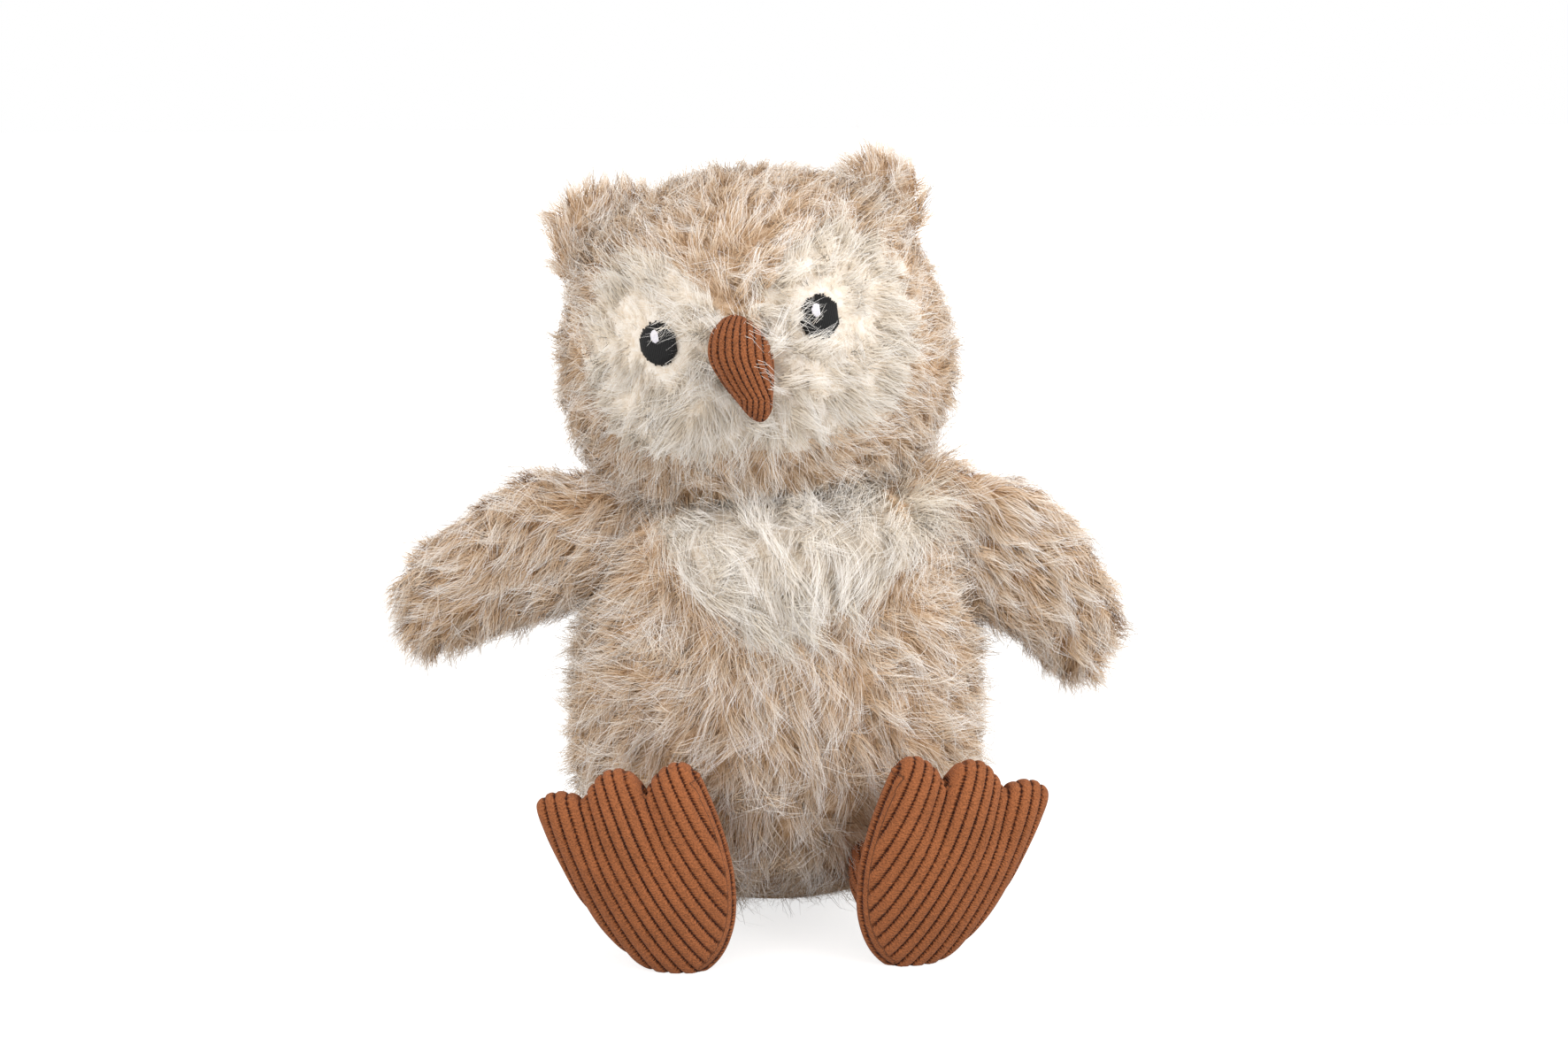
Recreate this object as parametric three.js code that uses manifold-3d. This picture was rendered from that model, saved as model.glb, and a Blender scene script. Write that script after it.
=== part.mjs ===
// Sitting plush owl, sewn from long-pile fabric and corduroy over loose stuffing.
// Millimetres, +Z up. The owl faces -Y and its own left side is +X.
// Every cover panel is a wall of cloth cut from a swelling form, and the stuffing
// is the same form drawn in by the wall and a clearance.

import * as THREE from 'three';
import { mergeVertices } from 'three/addons/utils/BufferGeometryUtils.js';
import Module from 'manifold-3d';

const wasm = await Module();
wasm.setup();

// Cloth and seams
const pileThickness = 6;
const cordThickness = 2.2;
const seamGap = 0.4;
const fillingGap = 0.3;
const jointGap = 0.35;
const limbHeadGap = 1.4;
const weldDistance = 0.0005;
const cutOverrun = 260;

// Torso: a barrel that swells low down and tapers to the neck
const torsoWidth = 103;
const torsoDepth = 84;
const torsoHeight = 111;
const seatPanelHeight = 15;
const sideSeamDepth = 2;
const torsoRadiusShares = [
  [0, 0.36], [0.012, 0.46], [0.04, 0.61], [0.09, 0.77], [0.16, 0.89], [0.26, 0.97],
  [0.37, 1], [0.53, 0.99], [0.67, 0.945], [0.8, 0.85], [0.89, 0.7], [0.95, 0.51],
  [0.985, 0.28], [1, 0],
];
const neckRoundShares = [0.66, 0.96];

// Cream bib let into the chest, a blunt triangle with its point downward
const bibWidth = 61;
const bibDrop = 27;
const bibNeckInset = 9;
const bibOutlineShares = [
  [-0.5, 0], [-0.47, -0.25], [-0.31, -0.6], [-0.13, -0.86], [0, -1],
  [0.13, -0.86], [0.31, -0.6], [0.47, -0.25], [0.5, 0],
];

// Head: broad cheeks low down, a domed crown, tipped and turned as the toy sits
const headWidth = 97;
const headDepth = 80;
const headHeight = 80.5;
const neckHeight = 102;
const headTipAngle = -8.5;
const headTurnAngle = -7;
const headRadiusShares = [
  [0, 0.56], [0.05, 0.76], [0.16, 0.92], [0.29, 0.99], [0.4, 1], [0.56, 0.96],
  [0.7, 0.87], [0.81, 0.74], [0.9, 0.56], [0.965, 0.33], [1, 0],
];
const crownWidth = 44;
const crownPeakHeight = 38;
const backSeamDepth = 4;

// Cream face discs, one round each eye, that meet below the beak
const faceWidth = 38;
const faceHeight = 47;
const faceBottomHeight = 16.5;
const faceOutlineShares = [
  [0, 0.03], [0.26, -0.02], [0.55, 0], [0.83, 0.1], [0.97, 0.32], [1, 0.58],
  [0.9, 0.83], [0.66, 1], [0.42, 0.98], [0.24, 0.86], [0.12, 0.7], [0, 0.55],
];
const faceCentreShares = [0.5, 0.48];

// Embroidered eyes and the light stitch in each
const eyeWidth = 9;
const eyeHeight = 10.6;
const eyeSpacing = 37.4;
const eyeCentreHeight = 45.3;
const eyeRise = 0.8;
const eyeDepth = 2.4;
const glintWidth = 2.6;
const glintHeight = 3;
const glintRise = 0.6;
const glintLift = 2.3;

// Beak: a stuffed corduroy hook, wide at its root
const beakWidth = 15.4;
const beakLength = 25;
const beakTopHeight = 50;
const beakFrontRise = 6.2;
const beakBackRise = 5.2;
const beakSetForward = 39.5;
const beakLeanAngle = 15;
const beakWall = 1.4;
const beakTipAngle = -2;
const beakShift = 0.8;
const beakOutlineShares = [
  [0, 0], [0.16, -0.03], [0.36, -0.14], [0.49, -0.32], [0.47, -0.52], [0.36, -0.74],
  [0.24, -0.93], [0.1, -1.01], [-0.05, -0.96], [-0.16, -0.8], [-0.32, -0.58],
  [-0.47, -0.38], [-0.42, -0.18], [-0.2, -0.04],
];
const beakCentreShares = [0, -0.42];

// Ears: two unstuffed layers sewn round a blunt square outline
const earWidth = 23;
const earHeight = 23.5;
const earThickness = 9;
const earSpacing = 70;
const earRootHeight = 56;
const earSetBack = 1;
const earOutlineShares = [
  [-0.42, 0], [-0.46, 0.4], [-0.4, 0.8], [-0.24, 0.93], [0.06, 1], [0.2, 0.93],
  [0.42, 0.76], [0.5, 0.66], [0.5, 0.36], [0.42, 0],
];
const earCentreShares = [0, 0.45];

// Wings: flat stuffed paddles with a scalloped tip, sewn on at the shoulder
const wingLength = 56;
const wingWidth = 37;
const wingThickness = 20;
const wingRootInset = 9;
const shoulderSpacing = 82;
const shoulderHeight = 94.5;
const shoulderSetForward = 5;
const wingDroopLeft = 38;
const wingDroopRight = 20;
const wingLowerAngleLeft = 16;
const wingLiftAngleLeft = 26;
const wingLowerAngleRight = 26;
const wingLiftAngleRight = 14;
const wingOutlineShares = [
  [0, 0.34], [0.12, 0.47], [0.3, 0.53], [0.5, 0.51], [0.68, 0.44], [0.85, 0.31],
  [0.95, 0.16], [0.985, 0.02], [0.97, -0.08], [1, -0.2], [0.97, -0.33], [0.82, -0.42],
  [0.62, -0.45], [0.4, -0.46], [0.2, -0.42], [0, -0.34],
];
const wingCentreShares = [0.5, 0.02];

// Legs: short corduroy stubs with a rounded ankle
const legRadius = 9;
const legLength = 17;
const legSlopeAngle = 26;
const ankleSpacing = 52;
const ankleHeight = 15;
const ankleSetForward = 38.5;
const ankleGap = 0.6;

// Feet: three-toed stuffed corduroy feet that stand on their heels
const footWidth = 40;
const footLength = 51.5;
const soleRise = 8.5;
const instepRise = 9.5;
const footSetForward = 14;
const heelDrop = 16;
const heelOutward = 4.4;
const footLeanAngle = 16;
const footTurnAngle = 8;
const footRaiseAngle = 4;
const footLowerAngle = 24;
const footOutlineShares = [
  [-0.14, -0.02], [-0.28, 0.03], [-0.41, 0.16], [-0.49, 0.36], [-0.51, 0.56], [-0.49, 0.78],
  [-0.46, 0.89], [-0.38, 0.95], [-0.28, 0.94], [-0.2, 0.9], [-0.16, 0.87], [-0.12, 0.91],
  [-0.06, 0.98], [0.05, 0.995], [0.13, 0.96], [0.185, 0.925], [0.22, 0.9], [0.28, 0.93],
  [0.37, 0.96], [0.45, 0.95], [0.49, 0.92], [0.485, 0.83], [0.45, 0.64], [0.4, 0.45],
  [0.3, 0.25], [0.17, 0.09], [0.01, 0],
];
const footCentreShares = [-0.02, 0.55];

// Facets
const bodySides = 24;
const bodyRings = 11;
const limbRings = 3;
const wingSides = 26;
const footSides = 40;
const fairingReach = 3;
const smallRings = 3;
const ovalSides = 14;
const legSides = 12;
const sweepSteps = 2;

// Cloth colours
const tanPile = '#c9ae90';
const creamPile = '#e6ddcb';
const brownCord = '#ad6231';
const blackThread = '#161616';
const whiteThread = '#f4f2ee';
const whiteFibre = '#efece6';

function cloth(color, roughness) {
  return new THREE.MeshStandardMaterial({ color, roughness, metalness: 0 });
}

/** Signed volume of an indexed triangle mesh. */
function signedVolume(points, corners) {
  const [a, b, c] = [new THREE.Vector3(), new THREE.Vector3(), new THREE.Vector3()];
  let sum = 0;
  for (let i = 0; i < corners.length; i += 3) {
    a.fromArray(points, corners[i] * 3);
    b.fromArray(points, corners[i + 1] * 3);
    c.fromArray(points, corners[i + 2] * 3);
    sum += a.dot(b.cross(c));
  }
  return sum / 6;
}

/** A closed geometry as a solid, its faces turned outward. */
function solidOf(geometry) {
  const bare = geometry.clone();
  bare.deleteAttribute('normal');
  bare.deleteAttribute('uv');
  const merged = mergeVertices(bare, weldDistance);
  const points = new Float32Array(merged.getAttribute('position').array);
  const corners = [];
  for (let i = 0; i < merged.index.count; i += 3) {
    const [a, b, c] = [0, 1, 2].map((k) => merged.index.getX(i + k));
    if (a !== b && b !== c && c !== a) {
      corners.push(a, b, c);
    }
  }
  if (signedVolume(points, corners) < 0) {
    for (let i = 0; i < corners.length; i += 3) {
      [corners[i + 1], corners[i + 2]] = [corners[i + 2], corners[i + 1]];
    }
  }
  const triVerts = new Uint32Array(corners);
  return new wasm.Manifold(new wasm.Mesh({ numProp: 3, vertProperties: points, triVerts }));
}

/** A solid's surface as a geometry that a mesh can carry. */
function geometryOf(solid) {
  const { vertProperties, triVerts } = solid.getMesh();
  const geometry = new THREE.BufferGeometry();
  geometry.setAttribute('position', new THREE.BufferAttribute(vertProperties, 3));
  geometry.setIndex(new THREE.BufferAttribute(triVerts, 1));
  geometry.computeVertexNormals();
  return geometry;
}

/**
 * A form turned on a lathe, wider than deep, that stands on z = 0 and swells by its shares.
 * Between the round shares of its height its section passes from an oval to a circle.
 */
function swelling({ width, depth, height, radiusShares, roundShares }, grow = 0) {
  const radius = width / 2 + grow;
  const rise = height + 2 * grow;
  const shoulder = new THREE.SplineCurve(
    radiusShares.map(([up, out]) => new THREE.Vector2(out * radius, up * rise)),
  );
  const outline = shoulder.getSpacedPoints(bodyRings);
  const profile = [new THREE.Vector2(0, 0)];
  for (const point of outline) {
    profile.push(new THREE.Vector2(Math.max(point.x, 0), THREE.MathUtils.clamp(point.y, 0, rise)));
  }
  profile[profile.length - 1].set(0, rise);
  const form = new THREE.LatheGeometry(profile, bodySides);
  form.rotateX(Math.PI / 2);
  const points = form.getAttribute('position');
  for (let i = 0; i < points.count; i += 1) {
    const up = points.getZ(i) / rise;
    const round = roundShares ? THREE.MathUtils.smoothstep(up, ...roundShares) : 0;
    points.setY(i, points.getY(i) * THREE.MathUtils.lerp((depth / 2 + grow) / radius, 1, round));
  }
  form.translate(0, 0, -grow);
  return form;
}

/** Points of a closed smooth outline through shares of a width and a height. */
function smoothOutline(shares, width, height, count) {
  const curve = new THREE.CatmullRomCurve3(
    shares.map(([across, up]) => new THREE.Vector3(across * width, up * height, 0)),
    true,
    'centripetal',
  );
  return curve.getSpacedPoints(count).slice(0, count).map(({ x, y }) => new THREE.Vector2(x, y));
}

/** An outline moved away from its centre, or toward it where grow is negative. */
function spread(outline, centre, grow) {
  return outline.map((point) => {
    const away = point.clone().sub(centre);
    return away.setLength(away.length() + grow).add(centre);
  });
}

/**
 * A stuffed shape: an outline in XZ whose two faces swell toward -Y and +Y from one seam.
 * The notches of the outline fade from ring to ring, as cloth bridges them.
 */
function pillow({ outline, centre, frontRise, backRise, rings }, grow = 0) {
  const rim = spread(outline, centre, grow);
  const count = rim.length;
  const points = [];
  const corners = [];
  const reaches = rim.map((point) => point.distanceTo(centre));
  const faired = reaches.map((_, i) => {
    let sum = 0;
    for (let k = -fairingReach; k <= fairingReach; k += 1) {
      sum += reaches[(i + k + count) % count];
    }
    return sum / (2 * fairingReach + 1);
  });
  const addRing = (share, y) => {
    rim.forEach((point, i) => {
      const reach = share * THREE.MathUtils.lerp(faired[i], reaches[i], share ** 3);
      const inner = point.clone().sub(centre).setLength(reach).add(centre);
      points.push(inner.x, y, inner.y);
    });
    return points.length / 3 - count;
  };
  const seam = addRing(1, 0);
  for (const rise of [-(frontRise + grow), backRise + grow]) {
    let outer = seam;
    for (let ring = 1; ring < rings; ring += 1) {
      const angle = (ring / rings) * (Math.PI / 2);
      const inner = addRing(Math.cos(angle), rise * Math.sin(angle));
      for (let i = 0; i < count; i += 1) {
        const next = (i + 1) % count;
        const quad = [outer + i, outer + next, inner + i, inner + next];
        const order = rise < 0 ? [0, 1, 2, 1, 3, 2] : [0, 2, 1, 1, 2, 3];
        corners.push(...order.map((k) => quad[k]));
      }
      outer = inner;
    }
    points.push(centre.x, rise, centre.y);
    const pole = points.length / 3 - 1;
    for (let i = 0; i < count; i += 1) {
      const pair = [outer + i, outer + ((i + 1) % count)];
      corners.push(...(rise < 0 ? pair : pair.reverse()), pole);
    }
  }
  const form = new THREE.BufferGeometry();
  form.setAttribute('position', new THREE.Float32BufferAttribute(points, 3));
  form.setIndex(corners);
  return form;
}

/** A box between two corners. */
function slab(low, high) {
  const size = high.clone().sub(low);
  const box = new THREE.BoxGeometry(size.x, size.y, size.z);
  const middle = low.clone().add(high).divideScalar(2);
  return solidOf(box.translate(middle.x, middle.y, middle.z));
}

/** An outline in XZ pushed through along Y, from one depth to another. */
function prism(outline, fromY, toY) {
  const form = new THREE.ExtrudeGeometry(new THREE.Shape(outline), {
    depth: toY - fromY,
    bevelEnabled: false,
  });
  form.rotateX(Math.PI / 2);
  return solidOf(form.translate(0, toY, 0));
}

/** The half of space on one side of a plane square to an axis. */
function halfSpace(axis, side, place) {
  const low = new THREE.Vector3().setScalar(-cutOverrun);
  const high = new THREE.Vector3().setScalar(cutOverrun);
  (side < 0 ? high : low)[axis] = place;
  return slab(low, high);
}

/** A wall of cloth: a form less the same form drawn in by the wall. */
function wall(form, shape, thickness) {
  return solidOf(form(shape)).subtract(solidOf(form(shape, -thickness)));
}

/** The stuffing inside a wall of cloth. */
function stuffing(form, shape, thickness) {
  return solidOf(form(shape, -(thickness + fillingGap)));
}

/** Cuts a limb's solid clear of an obstacle at every angle that its hinge takes it to. */
function clearOf(solid, limb, obstacle, axis, fromAngle, toAngle) {
  limb.updateWorldMatrix(true, false);
  const toLimb = limb.matrixWorld.clone().invert();
  const hinge = new THREE.Vector3().setFromMatrixPosition(limb.matrixWorld);
  const steps = toAngle > fromAngle ? sweepSteps : 0;
  let cleared = solid;
  for (let step = 0; step <= steps; step += 1) {
    const angle = THREE.MathUtils.lerp(fromAngle, toAngle, step / sweepSteps);
    const swing = new THREE.Matrix4().makeTranslation(hinge)
      .multiply(new THREE.Matrix4().makeRotationAxis(axis, THREE.MathUtils.degToRad(-angle)))
      .multiply(new THREE.Matrix4().makeTranslation(hinge.clone().negate()));
    const turned = obstacle.clone().applyMatrix4(toLimb.clone().multiply(swing));
    cleared = cleared.subtract(solidOf(turned));
  }
  return cleared;
}

/** Adds a solid to a group as a named mesh with a material of its own. */
function addPiece(group, name, solid, color, roughness) {
  const mesh = new THREE.Mesh(geometryOf(solid), cloth(color, roughness));
  mesh.name = name;
  group.add(mesh);
  return mesh;
}

const X = new THREE.Vector3(1, 0, 0);
const Y = new THREE.Vector3(0, 1, 0);
const Z = new THREE.Vector3(0, 0, 1);
const sides = [['left', 1], ['right', -1]];

const owl = new THREE.Group();
const toy = new THREE.Group();
owl.add(toy);

// Torso
const torso = new THREE.Group();
toy.add(torso);
const torsoShape = {
  width: torsoWidth,
  depth: torsoDepth,
  height: torsoHeight,
  radiusShares: torsoRadiusShares,
  roundShares: neckRoundShares,
};
const torsoWall = wall(swelling, torsoShape, pileThickness);
const torsoClearance = swelling(torsoShape, jointGap);
const belowSeatSeam = halfSpace('z', -1, seatPanelHeight - seamGap / 2);
const aboveSeatSeam = halfSpace('z', 1, seatPanelHeight + seamGap / 2);
const torsoFront = halfSpace('y', -1, sideSeamDepth - seamGap / 2);
const torsoBack = halfSpace('y', 1, sideSeamDepth + seamGap / 2);

const bibTop = torsoHeight + pileThickness;
const bibShoulderHeight = torsoHeight - bibNeckInset;
const bibOutline = [
  ...bibOutlineShares.map(
    ([across, up]) => new THREE.Vector2(across * bibWidth, bibShoulderHeight + up * bibDrop),
  ),
  new THREE.Vector2(bibWidth / 2, bibTop),
  new THREE.Vector2(-bibWidth / 2, bibTop),
];
const bibCentre = new THREE.Vector2(0, bibShoulderHeight - bibDrop / 2);
const bibFront = prism(bibOutline, -torsoDepth, 0);
const bibOpening = prism(spread(bibOutline, bibCentre, seamGap), -torsoDepth, cutOverrun);
const torsoFrontWall = torsoWall.intersect(aboveSeatSeam).intersect(torsoFront);

addPiece(torso, 'body_filling', stuffing(swelling, torsoShape, pileThickness), whiteFibre, 1);
addPiece(torso, 'belly_panel', torsoFrontWall.subtract(bibOpening), tanPile, 0.95);
addPiece(torso, 'chest_bib', torsoFrontWall.intersect(bibFront), creamPile, 0.95);
addPiece(torso, 'seat_panel', torsoWall.intersect(belowSeatSeam), tanPile, 0.95);
for (const [sideName, side] of sides) {
  const half = halfSpace('x', side, (side * seamGap) / 2);
  const backWall = torsoWall.intersect(aboveSeatSeam).intersect(torsoBack).intersect(half);
  addPiece(torso, `back_panel_${sideName}`, backWall, tanPile, 0.95);
}

// Head
const head = new THREE.Group();
head.position.set(0, 0, neckHeight);
head.rotation.set(
  0,
  THREE.MathUtils.degToRad(headTipAngle),
  THREE.MathUtils.degToRad(headTurnAngle),
  'ZYX',
);
toy.add(head);
const headShape = {
  width: headWidth, depth: headDepth, height: headHeight, radiusShares: headRadiusShares,
};
const headLayer = (outer, inner) => solidOf(swelling(headShape, outer))
  .subtract(solidOf(swelling(headShape, inner)));
const overNeck = (solid) => clearOf(solid, head, torsoClearance, Z, 0, 0);
const headWall = overNeck(headLayer(0, -pileThickness));
const headClearance = swelling(headShape, jointGap);

const faceCentre = new THREE.Vector2(
  faceCentreShares[0] * faceWidth + seamGap / 2,
  faceBottomHeight + faceCentreShares[1] * faceHeight,
);
const faceOutline = smoothOutline(faceOutlineShares, faceWidth, faceHeight, 2 * ovalSides)
  .map((point) => new THREE.Vector2(
    Math.max(point.x, 0) + seamGap / 2,
    point.y + faceBottomHeight,
  ));
const mirrored = (outline, side) => outline.map(({ x, y }) => new THREE.Vector2(side * x, y));
const oval = (width, height, x, z, grow = 0) => new THREE.EllipseCurve(
  x, z, width / 2 + grow, height / 2 + grow, 0, 2 * Math.PI,
).getPoints(ovalSides).slice(0, ovalSides);

let headRest = headWall;
for (const [sideName, side] of sides) {
  const outline = mirrored(faceOutline, side);
  const centre = new THREE.Vector2(side * faceCentre.x, faceCentre.y);
  const eyeX = (side * eyeSpacing) / 2;
  const eyeHole = prism(
    oval(eyeWidth, eyeHeight, eyeX, eyeCentreHeight, seamGap), -headDepth, 0,
  );
  const eyeColumn = prism(oval(eyeWidth, eyeHeight, eyeX, eyeCentreHeight), -headDepth, 0);
  const glintColumn = prism(
    oval(glintWidth, glintHeight, eyeX, eyeCentreHeight + glintLift), -headDepth, 0,
  );
  const face = headWall.intersect(prism(outline, -headDepth, 0)).subtract(eyeHole);
  headRest = headRest.subtract(prism(spread(outline, centre, seamGap), -headDepth, 0));
  addPiece(head, `face_panel_${sideName}`, face, creamPile, 0.95);
  const eye = headLayer(eyeRise, -eyeDepth).intersect(eyeColumn);
  const glint = headLayer(eyeRise + fillingGap + glintRise, eyeRise + fillingGap)
    .intersect(glintColumn);
  addPiece(head, `eye_${sideName}`, eye, blackThread, 0.7);
  addPiece(head, `eye_glint_${sideName}`, glint, whiteThread, 0.6);
}

const crownStrip = (grow) => {
  const reach = crownWidth / 2 + grow;
  const front = slab(
    new THREE.Vector3(-reach, -cutOverrun, crownPeakHeight - grow),
    new THREE.Vector3(reach, backSeamDepth, cutOverrun),
  );
  const back = slab(
    new THREE.Vector3(-reach, backSeamDepth - grow, -cutOverrun),
    new THREE.Vector3(reach, cutOverrun, cutOverrun),
  );
  return front.add(back);
};
addPiece(head, 'crown_panel', headRest.intersect(crownStrip(0)), tanPile, 0.95);
for (const [sideName, side] of sides) {
  const half = halfSpace('x', side, (side * seamGap) / 2);
  const cheek = headRest.subtract(crownStrip(seamGap)).intersect(half);
  addPiece(head, `cheek_panel_${sideName}`, cheek, tanPile, 0.95);
}
const headStuffing = overNeck(stuffing(swelling, headShape, pileThickness));
addPiece(head, 'head_filling', headStuffing, whiteFibre, 1);

// Ears
for (const [sideName, side] of sides) {
  const outline = smoothOutline(earOutlineShares, earWidth, earHeight, ovalSides + 4);
  const ear = solidOf(pillow({
    outline: mirrored(outline, side),
    centre: new THREE.Vector2(
      side * earCentreShares[0] * earWidth, earCentreShares[1] * earHeight,
    ),
    frontRise: earThickness / 2,
    backRise: earThickness / 2,
    rings: smallRings,
  }).translate((side * earSpacing) / 2, earSetBack, earRootHeight)).subtract(solidOf(headClearance));
  const front = ear.intersect(halfSpace('y', -1, earSetBack - seamGap / 2));
  const back = ear.intersect(halfSpace('y', 1, earSetBack + seamGap / 2));
  addPiece(head, `ear_front_${sideName}`, front, tanPile, 0.95);
  addPiece(head, `ear_back_${sideName}`, back, tanPile, 0.95);
}

// Beak
const beakShape = {
  outline: smoothOutline(beakOutlineShares, beakWidth, beakLength, ovalSides + 4),
  centre: new THREE.Vector2(beakCentreShares[0] * beakWidth, beakCentreShares[1] * beakLength),
  frontRise: beakFrontRise,
  backRise: beakBackRise,
  rings: limbRings,
};
const seatedBeak = (solid) => solid.subtract(solidOf(headClearance.clone().applyMatrix4(
  beak.matrix.clone().invert(),
)));
const beak = new THREE.Group();
beak.position.set(-beakShift, -beakSetForward, beakTopHeight);
beak.rotation.set(
  THREE.MathUtils.degToRad(-beakLeanAngle),
  THREE.MathUtils.degToRad(beakTipAngle),
  0,
);
beak.updateMatrix();
head.add(beak);
const beakCover = seatedBeak(wall(pillow, beakShape, beakWall));
const beakFront = beakCover.intersect(halfSpace('y', -1, -seamGap / 2));
const beakUnder = beakCover.intersect(halfSpace('y', 1, seamGap / 2));
addPiece(beak, 'beak_cover', beakFront, brownCord, 0.9);
addPiece(beak, 'beak_underside', beakUnder, brownCord, 0.9);
addPiece(beak, 'beak_filling', seatedBeak(stuffing(pillow, beakShape, beakWall)), whiteFibre, 1);

// Wings
head.updateWorldMatrix(true, false);
const headRoom = swelling(headShape, limbHeadGap).applyMatrix4(head.matrixWorld);
for (const [sideName, side] of sides) {
  const wing = new THREE.Group();
  wing.position.set((side * shoulderSpacing) / 2, -shoulderSetForward, shoulderHeight);
  wing.rotation.y = THREE.MathUtils.degToRad(side > 0 ? wingDroopLeft : -wingDroopRight);
  toy.add(wing);
  const outline = smoothOutline(wingOutlineShares, wingLength + wingRootInset, wingWidth, wingSides)
    .map((point) => new THREE.Vector2(side * (point.x - wingRootInset), point.y));
  const wingShape = {
    outline,
    centre: new THREE.Vector2(
      side * (wingCentreShares[0] * wingLength), wingCentreShares[1] * wingWidth,
    ),
    frontRise: wingThickness / 2,
    backRise: wingThickness / 2,
    rings: limbRings,
  };
  const lift = Y.clone().multiplyScalar(-side);
  const lowest = -(side > 0 ? wingLowerAngleLeft : wingLowerAngleRight);
  const highest = side > 0 ? wingLiftAngleLeft : wingLiftAngleRight;
  const free = (solid) => clearOf(
    clearOf(solid, wing, torsoClearance, lift, lowest, highest),
    wing, headRoom, lift, lowest, highest,
  );
  const wingWall = free(wall(pillow, wingShape, pileThickness));
  const front = wingWall.intersect(halfSpace('y', -1, -seamGap / 2));
  const back = wingWall.intersect(halfSpace('y', 1, seamGap / 2));
  addPiece(wing, `wing_front_${sideName}`, front, tanPile, 0.95);
  addPiece(wing, `wing_back_${sideName}`, back, tanPile, 0.95);
  const fill = free(stuffing(pillow, wingShape, pileThickness));
  addPiece(wing, `wing_filling_${sideName}`, fill, whiteFibre, 1);
}

// Legs and feet
for (const [sideName, side] of sides) {
  const ankle = new THREE.Vector3((side * ankleSpacing) / 2, -ankleSetForward, ankleHeight);
  const legProfile = [new THREE.Vector2(0, legLength), new THREE.Vector2(legRadius, legLength)];
  for (let step = 0; step < legSides / 4; step += 1) {
    const angle = (step / (legSides / 4)) * (Math.PI / 2);
    legProfile.push(new THREE.Vector2(legRadius * Math.cos(angle), -legRadius * Math.sin(angle)));
  }
  legProfile.push(new THREE.Vector2(0, -legRadius));
  const legForm = new THREE.LatheGeometry(legProfile, legSides);
  legForm.rotateX(THREE.MathUtils.degToRad(legSlopeAngle));
  const leg = solidOf(legForm.translate(ankle.x, ankle.y, ankle.z))
    .subtract(solidOf(torsoClearance));
  addPiece(torso, `leg_${sideName}`, leg, brownCord, 0.9);

  const foot = new THREE.Group();
  foot.position.copy(ankle);
  foot.rotation.set(
    0,
    THREE.MathUtils.degToRad(side * footLeanAngle),
    THREE.MathUtils.degToRad(side * footTurnAngle),
    'ZYX',
  );
  toy.add(foot);
  foot.updateWorldMatrix(true, false);
  const heel = new THREE.Vector2(heelOutward, -heelDrop);
  const outline = smoothOutline(footOutlineShares, footWidth, footLength, footSides)
    .map((point) => new THREE.Vector2(side * (point.x + heel.x), point.y + heel.y));
  const footShape = {
    outline,
    centre: new THREE.Vector2(
      side * (footCentreShares[0] * footWidth + heel.x),
      footCentreShares[1] * footLength + heel.y,
    ),
    frontRise: soleRise,
    backRise: instepRise,
    rings: limbRings,
  };
  const seated = (shape, grow) => pillow(shape, grow).translate(0, -footSetForward, 0);
  const ground = solidOf(new THREE.BoxGeometry(cutOverrun, cutOverrun, cutOverrun)
    .translate(0, 0, -cutOverrun / 2)
    .applyMatrix4(foot.matrixWorld.clone().invert()));
  const ankleRoom = solidOf(
    new THREE.SphereGeometry(legRadius + ankleGap, legSides, legSides / 2).rotateZ(Math.PI / 2),
  );
  const free = (solid) => clearOf(
    solid, foot, torsoClearance, X, -footRaiseAngle, footLowerAngle,
  ).subtract(ankleRoom).subtract(ground);
  const footWall = free(wall(seated, footShape, cordThickness));
  const sole = footWall.intersect(halfSpace('y', -1, -footSetForward - seamGap / 2));
  const instep = footWall.intersect(halfSpace('y', 1, -footSetForward + seamGap / 2));
  addPiece(foot, `foot_sole_${sideName}`, sole, brownCord, 0.9);
  addPiece(foot, `foot_instep_${sideName}`, instep, brownCord, 0.9);
  addPiece(foot, `foot_filling_${sideName}`, free(stuffing(seated, footShape, cordThickness)), whiteFibre, 1);
}

// The origin lies on the ground under the middle of the whole toy.
owl.updateMatrixWorld(true);
const bounds = new THREE.Box3().setFromObject(toy, true);
const middle = bounds.getCenter(new THREE.Vector3());
toy.position.set(-middle.x, -middle.y, -bounds.min.z);

export default owl;
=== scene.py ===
"""Looks of a sitting plush owl: long pile cloth over stuffing, corduroy beak and feet."""
import logging
import math
from dataclasses import dataclass, field
from enum import Enum
from typing import Sequence

import bpy
import numpy as np
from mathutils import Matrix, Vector


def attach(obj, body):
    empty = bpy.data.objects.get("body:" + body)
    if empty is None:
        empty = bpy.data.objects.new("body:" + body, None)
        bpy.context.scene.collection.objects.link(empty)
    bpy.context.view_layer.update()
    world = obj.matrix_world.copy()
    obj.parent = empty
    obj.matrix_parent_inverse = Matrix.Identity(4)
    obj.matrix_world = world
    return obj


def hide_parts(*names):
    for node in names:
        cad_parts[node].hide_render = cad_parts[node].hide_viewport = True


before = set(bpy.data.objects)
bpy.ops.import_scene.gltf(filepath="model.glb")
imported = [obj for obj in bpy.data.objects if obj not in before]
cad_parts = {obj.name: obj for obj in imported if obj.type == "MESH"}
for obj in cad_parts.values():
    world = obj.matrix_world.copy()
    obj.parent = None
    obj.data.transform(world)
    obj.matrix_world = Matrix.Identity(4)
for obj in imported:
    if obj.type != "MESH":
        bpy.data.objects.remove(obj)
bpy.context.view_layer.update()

log = logging.getLogger("owl")
MM = 0.001
SQUARE_CM_IN_A_SQUARE_METRE = 10000.0
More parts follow.
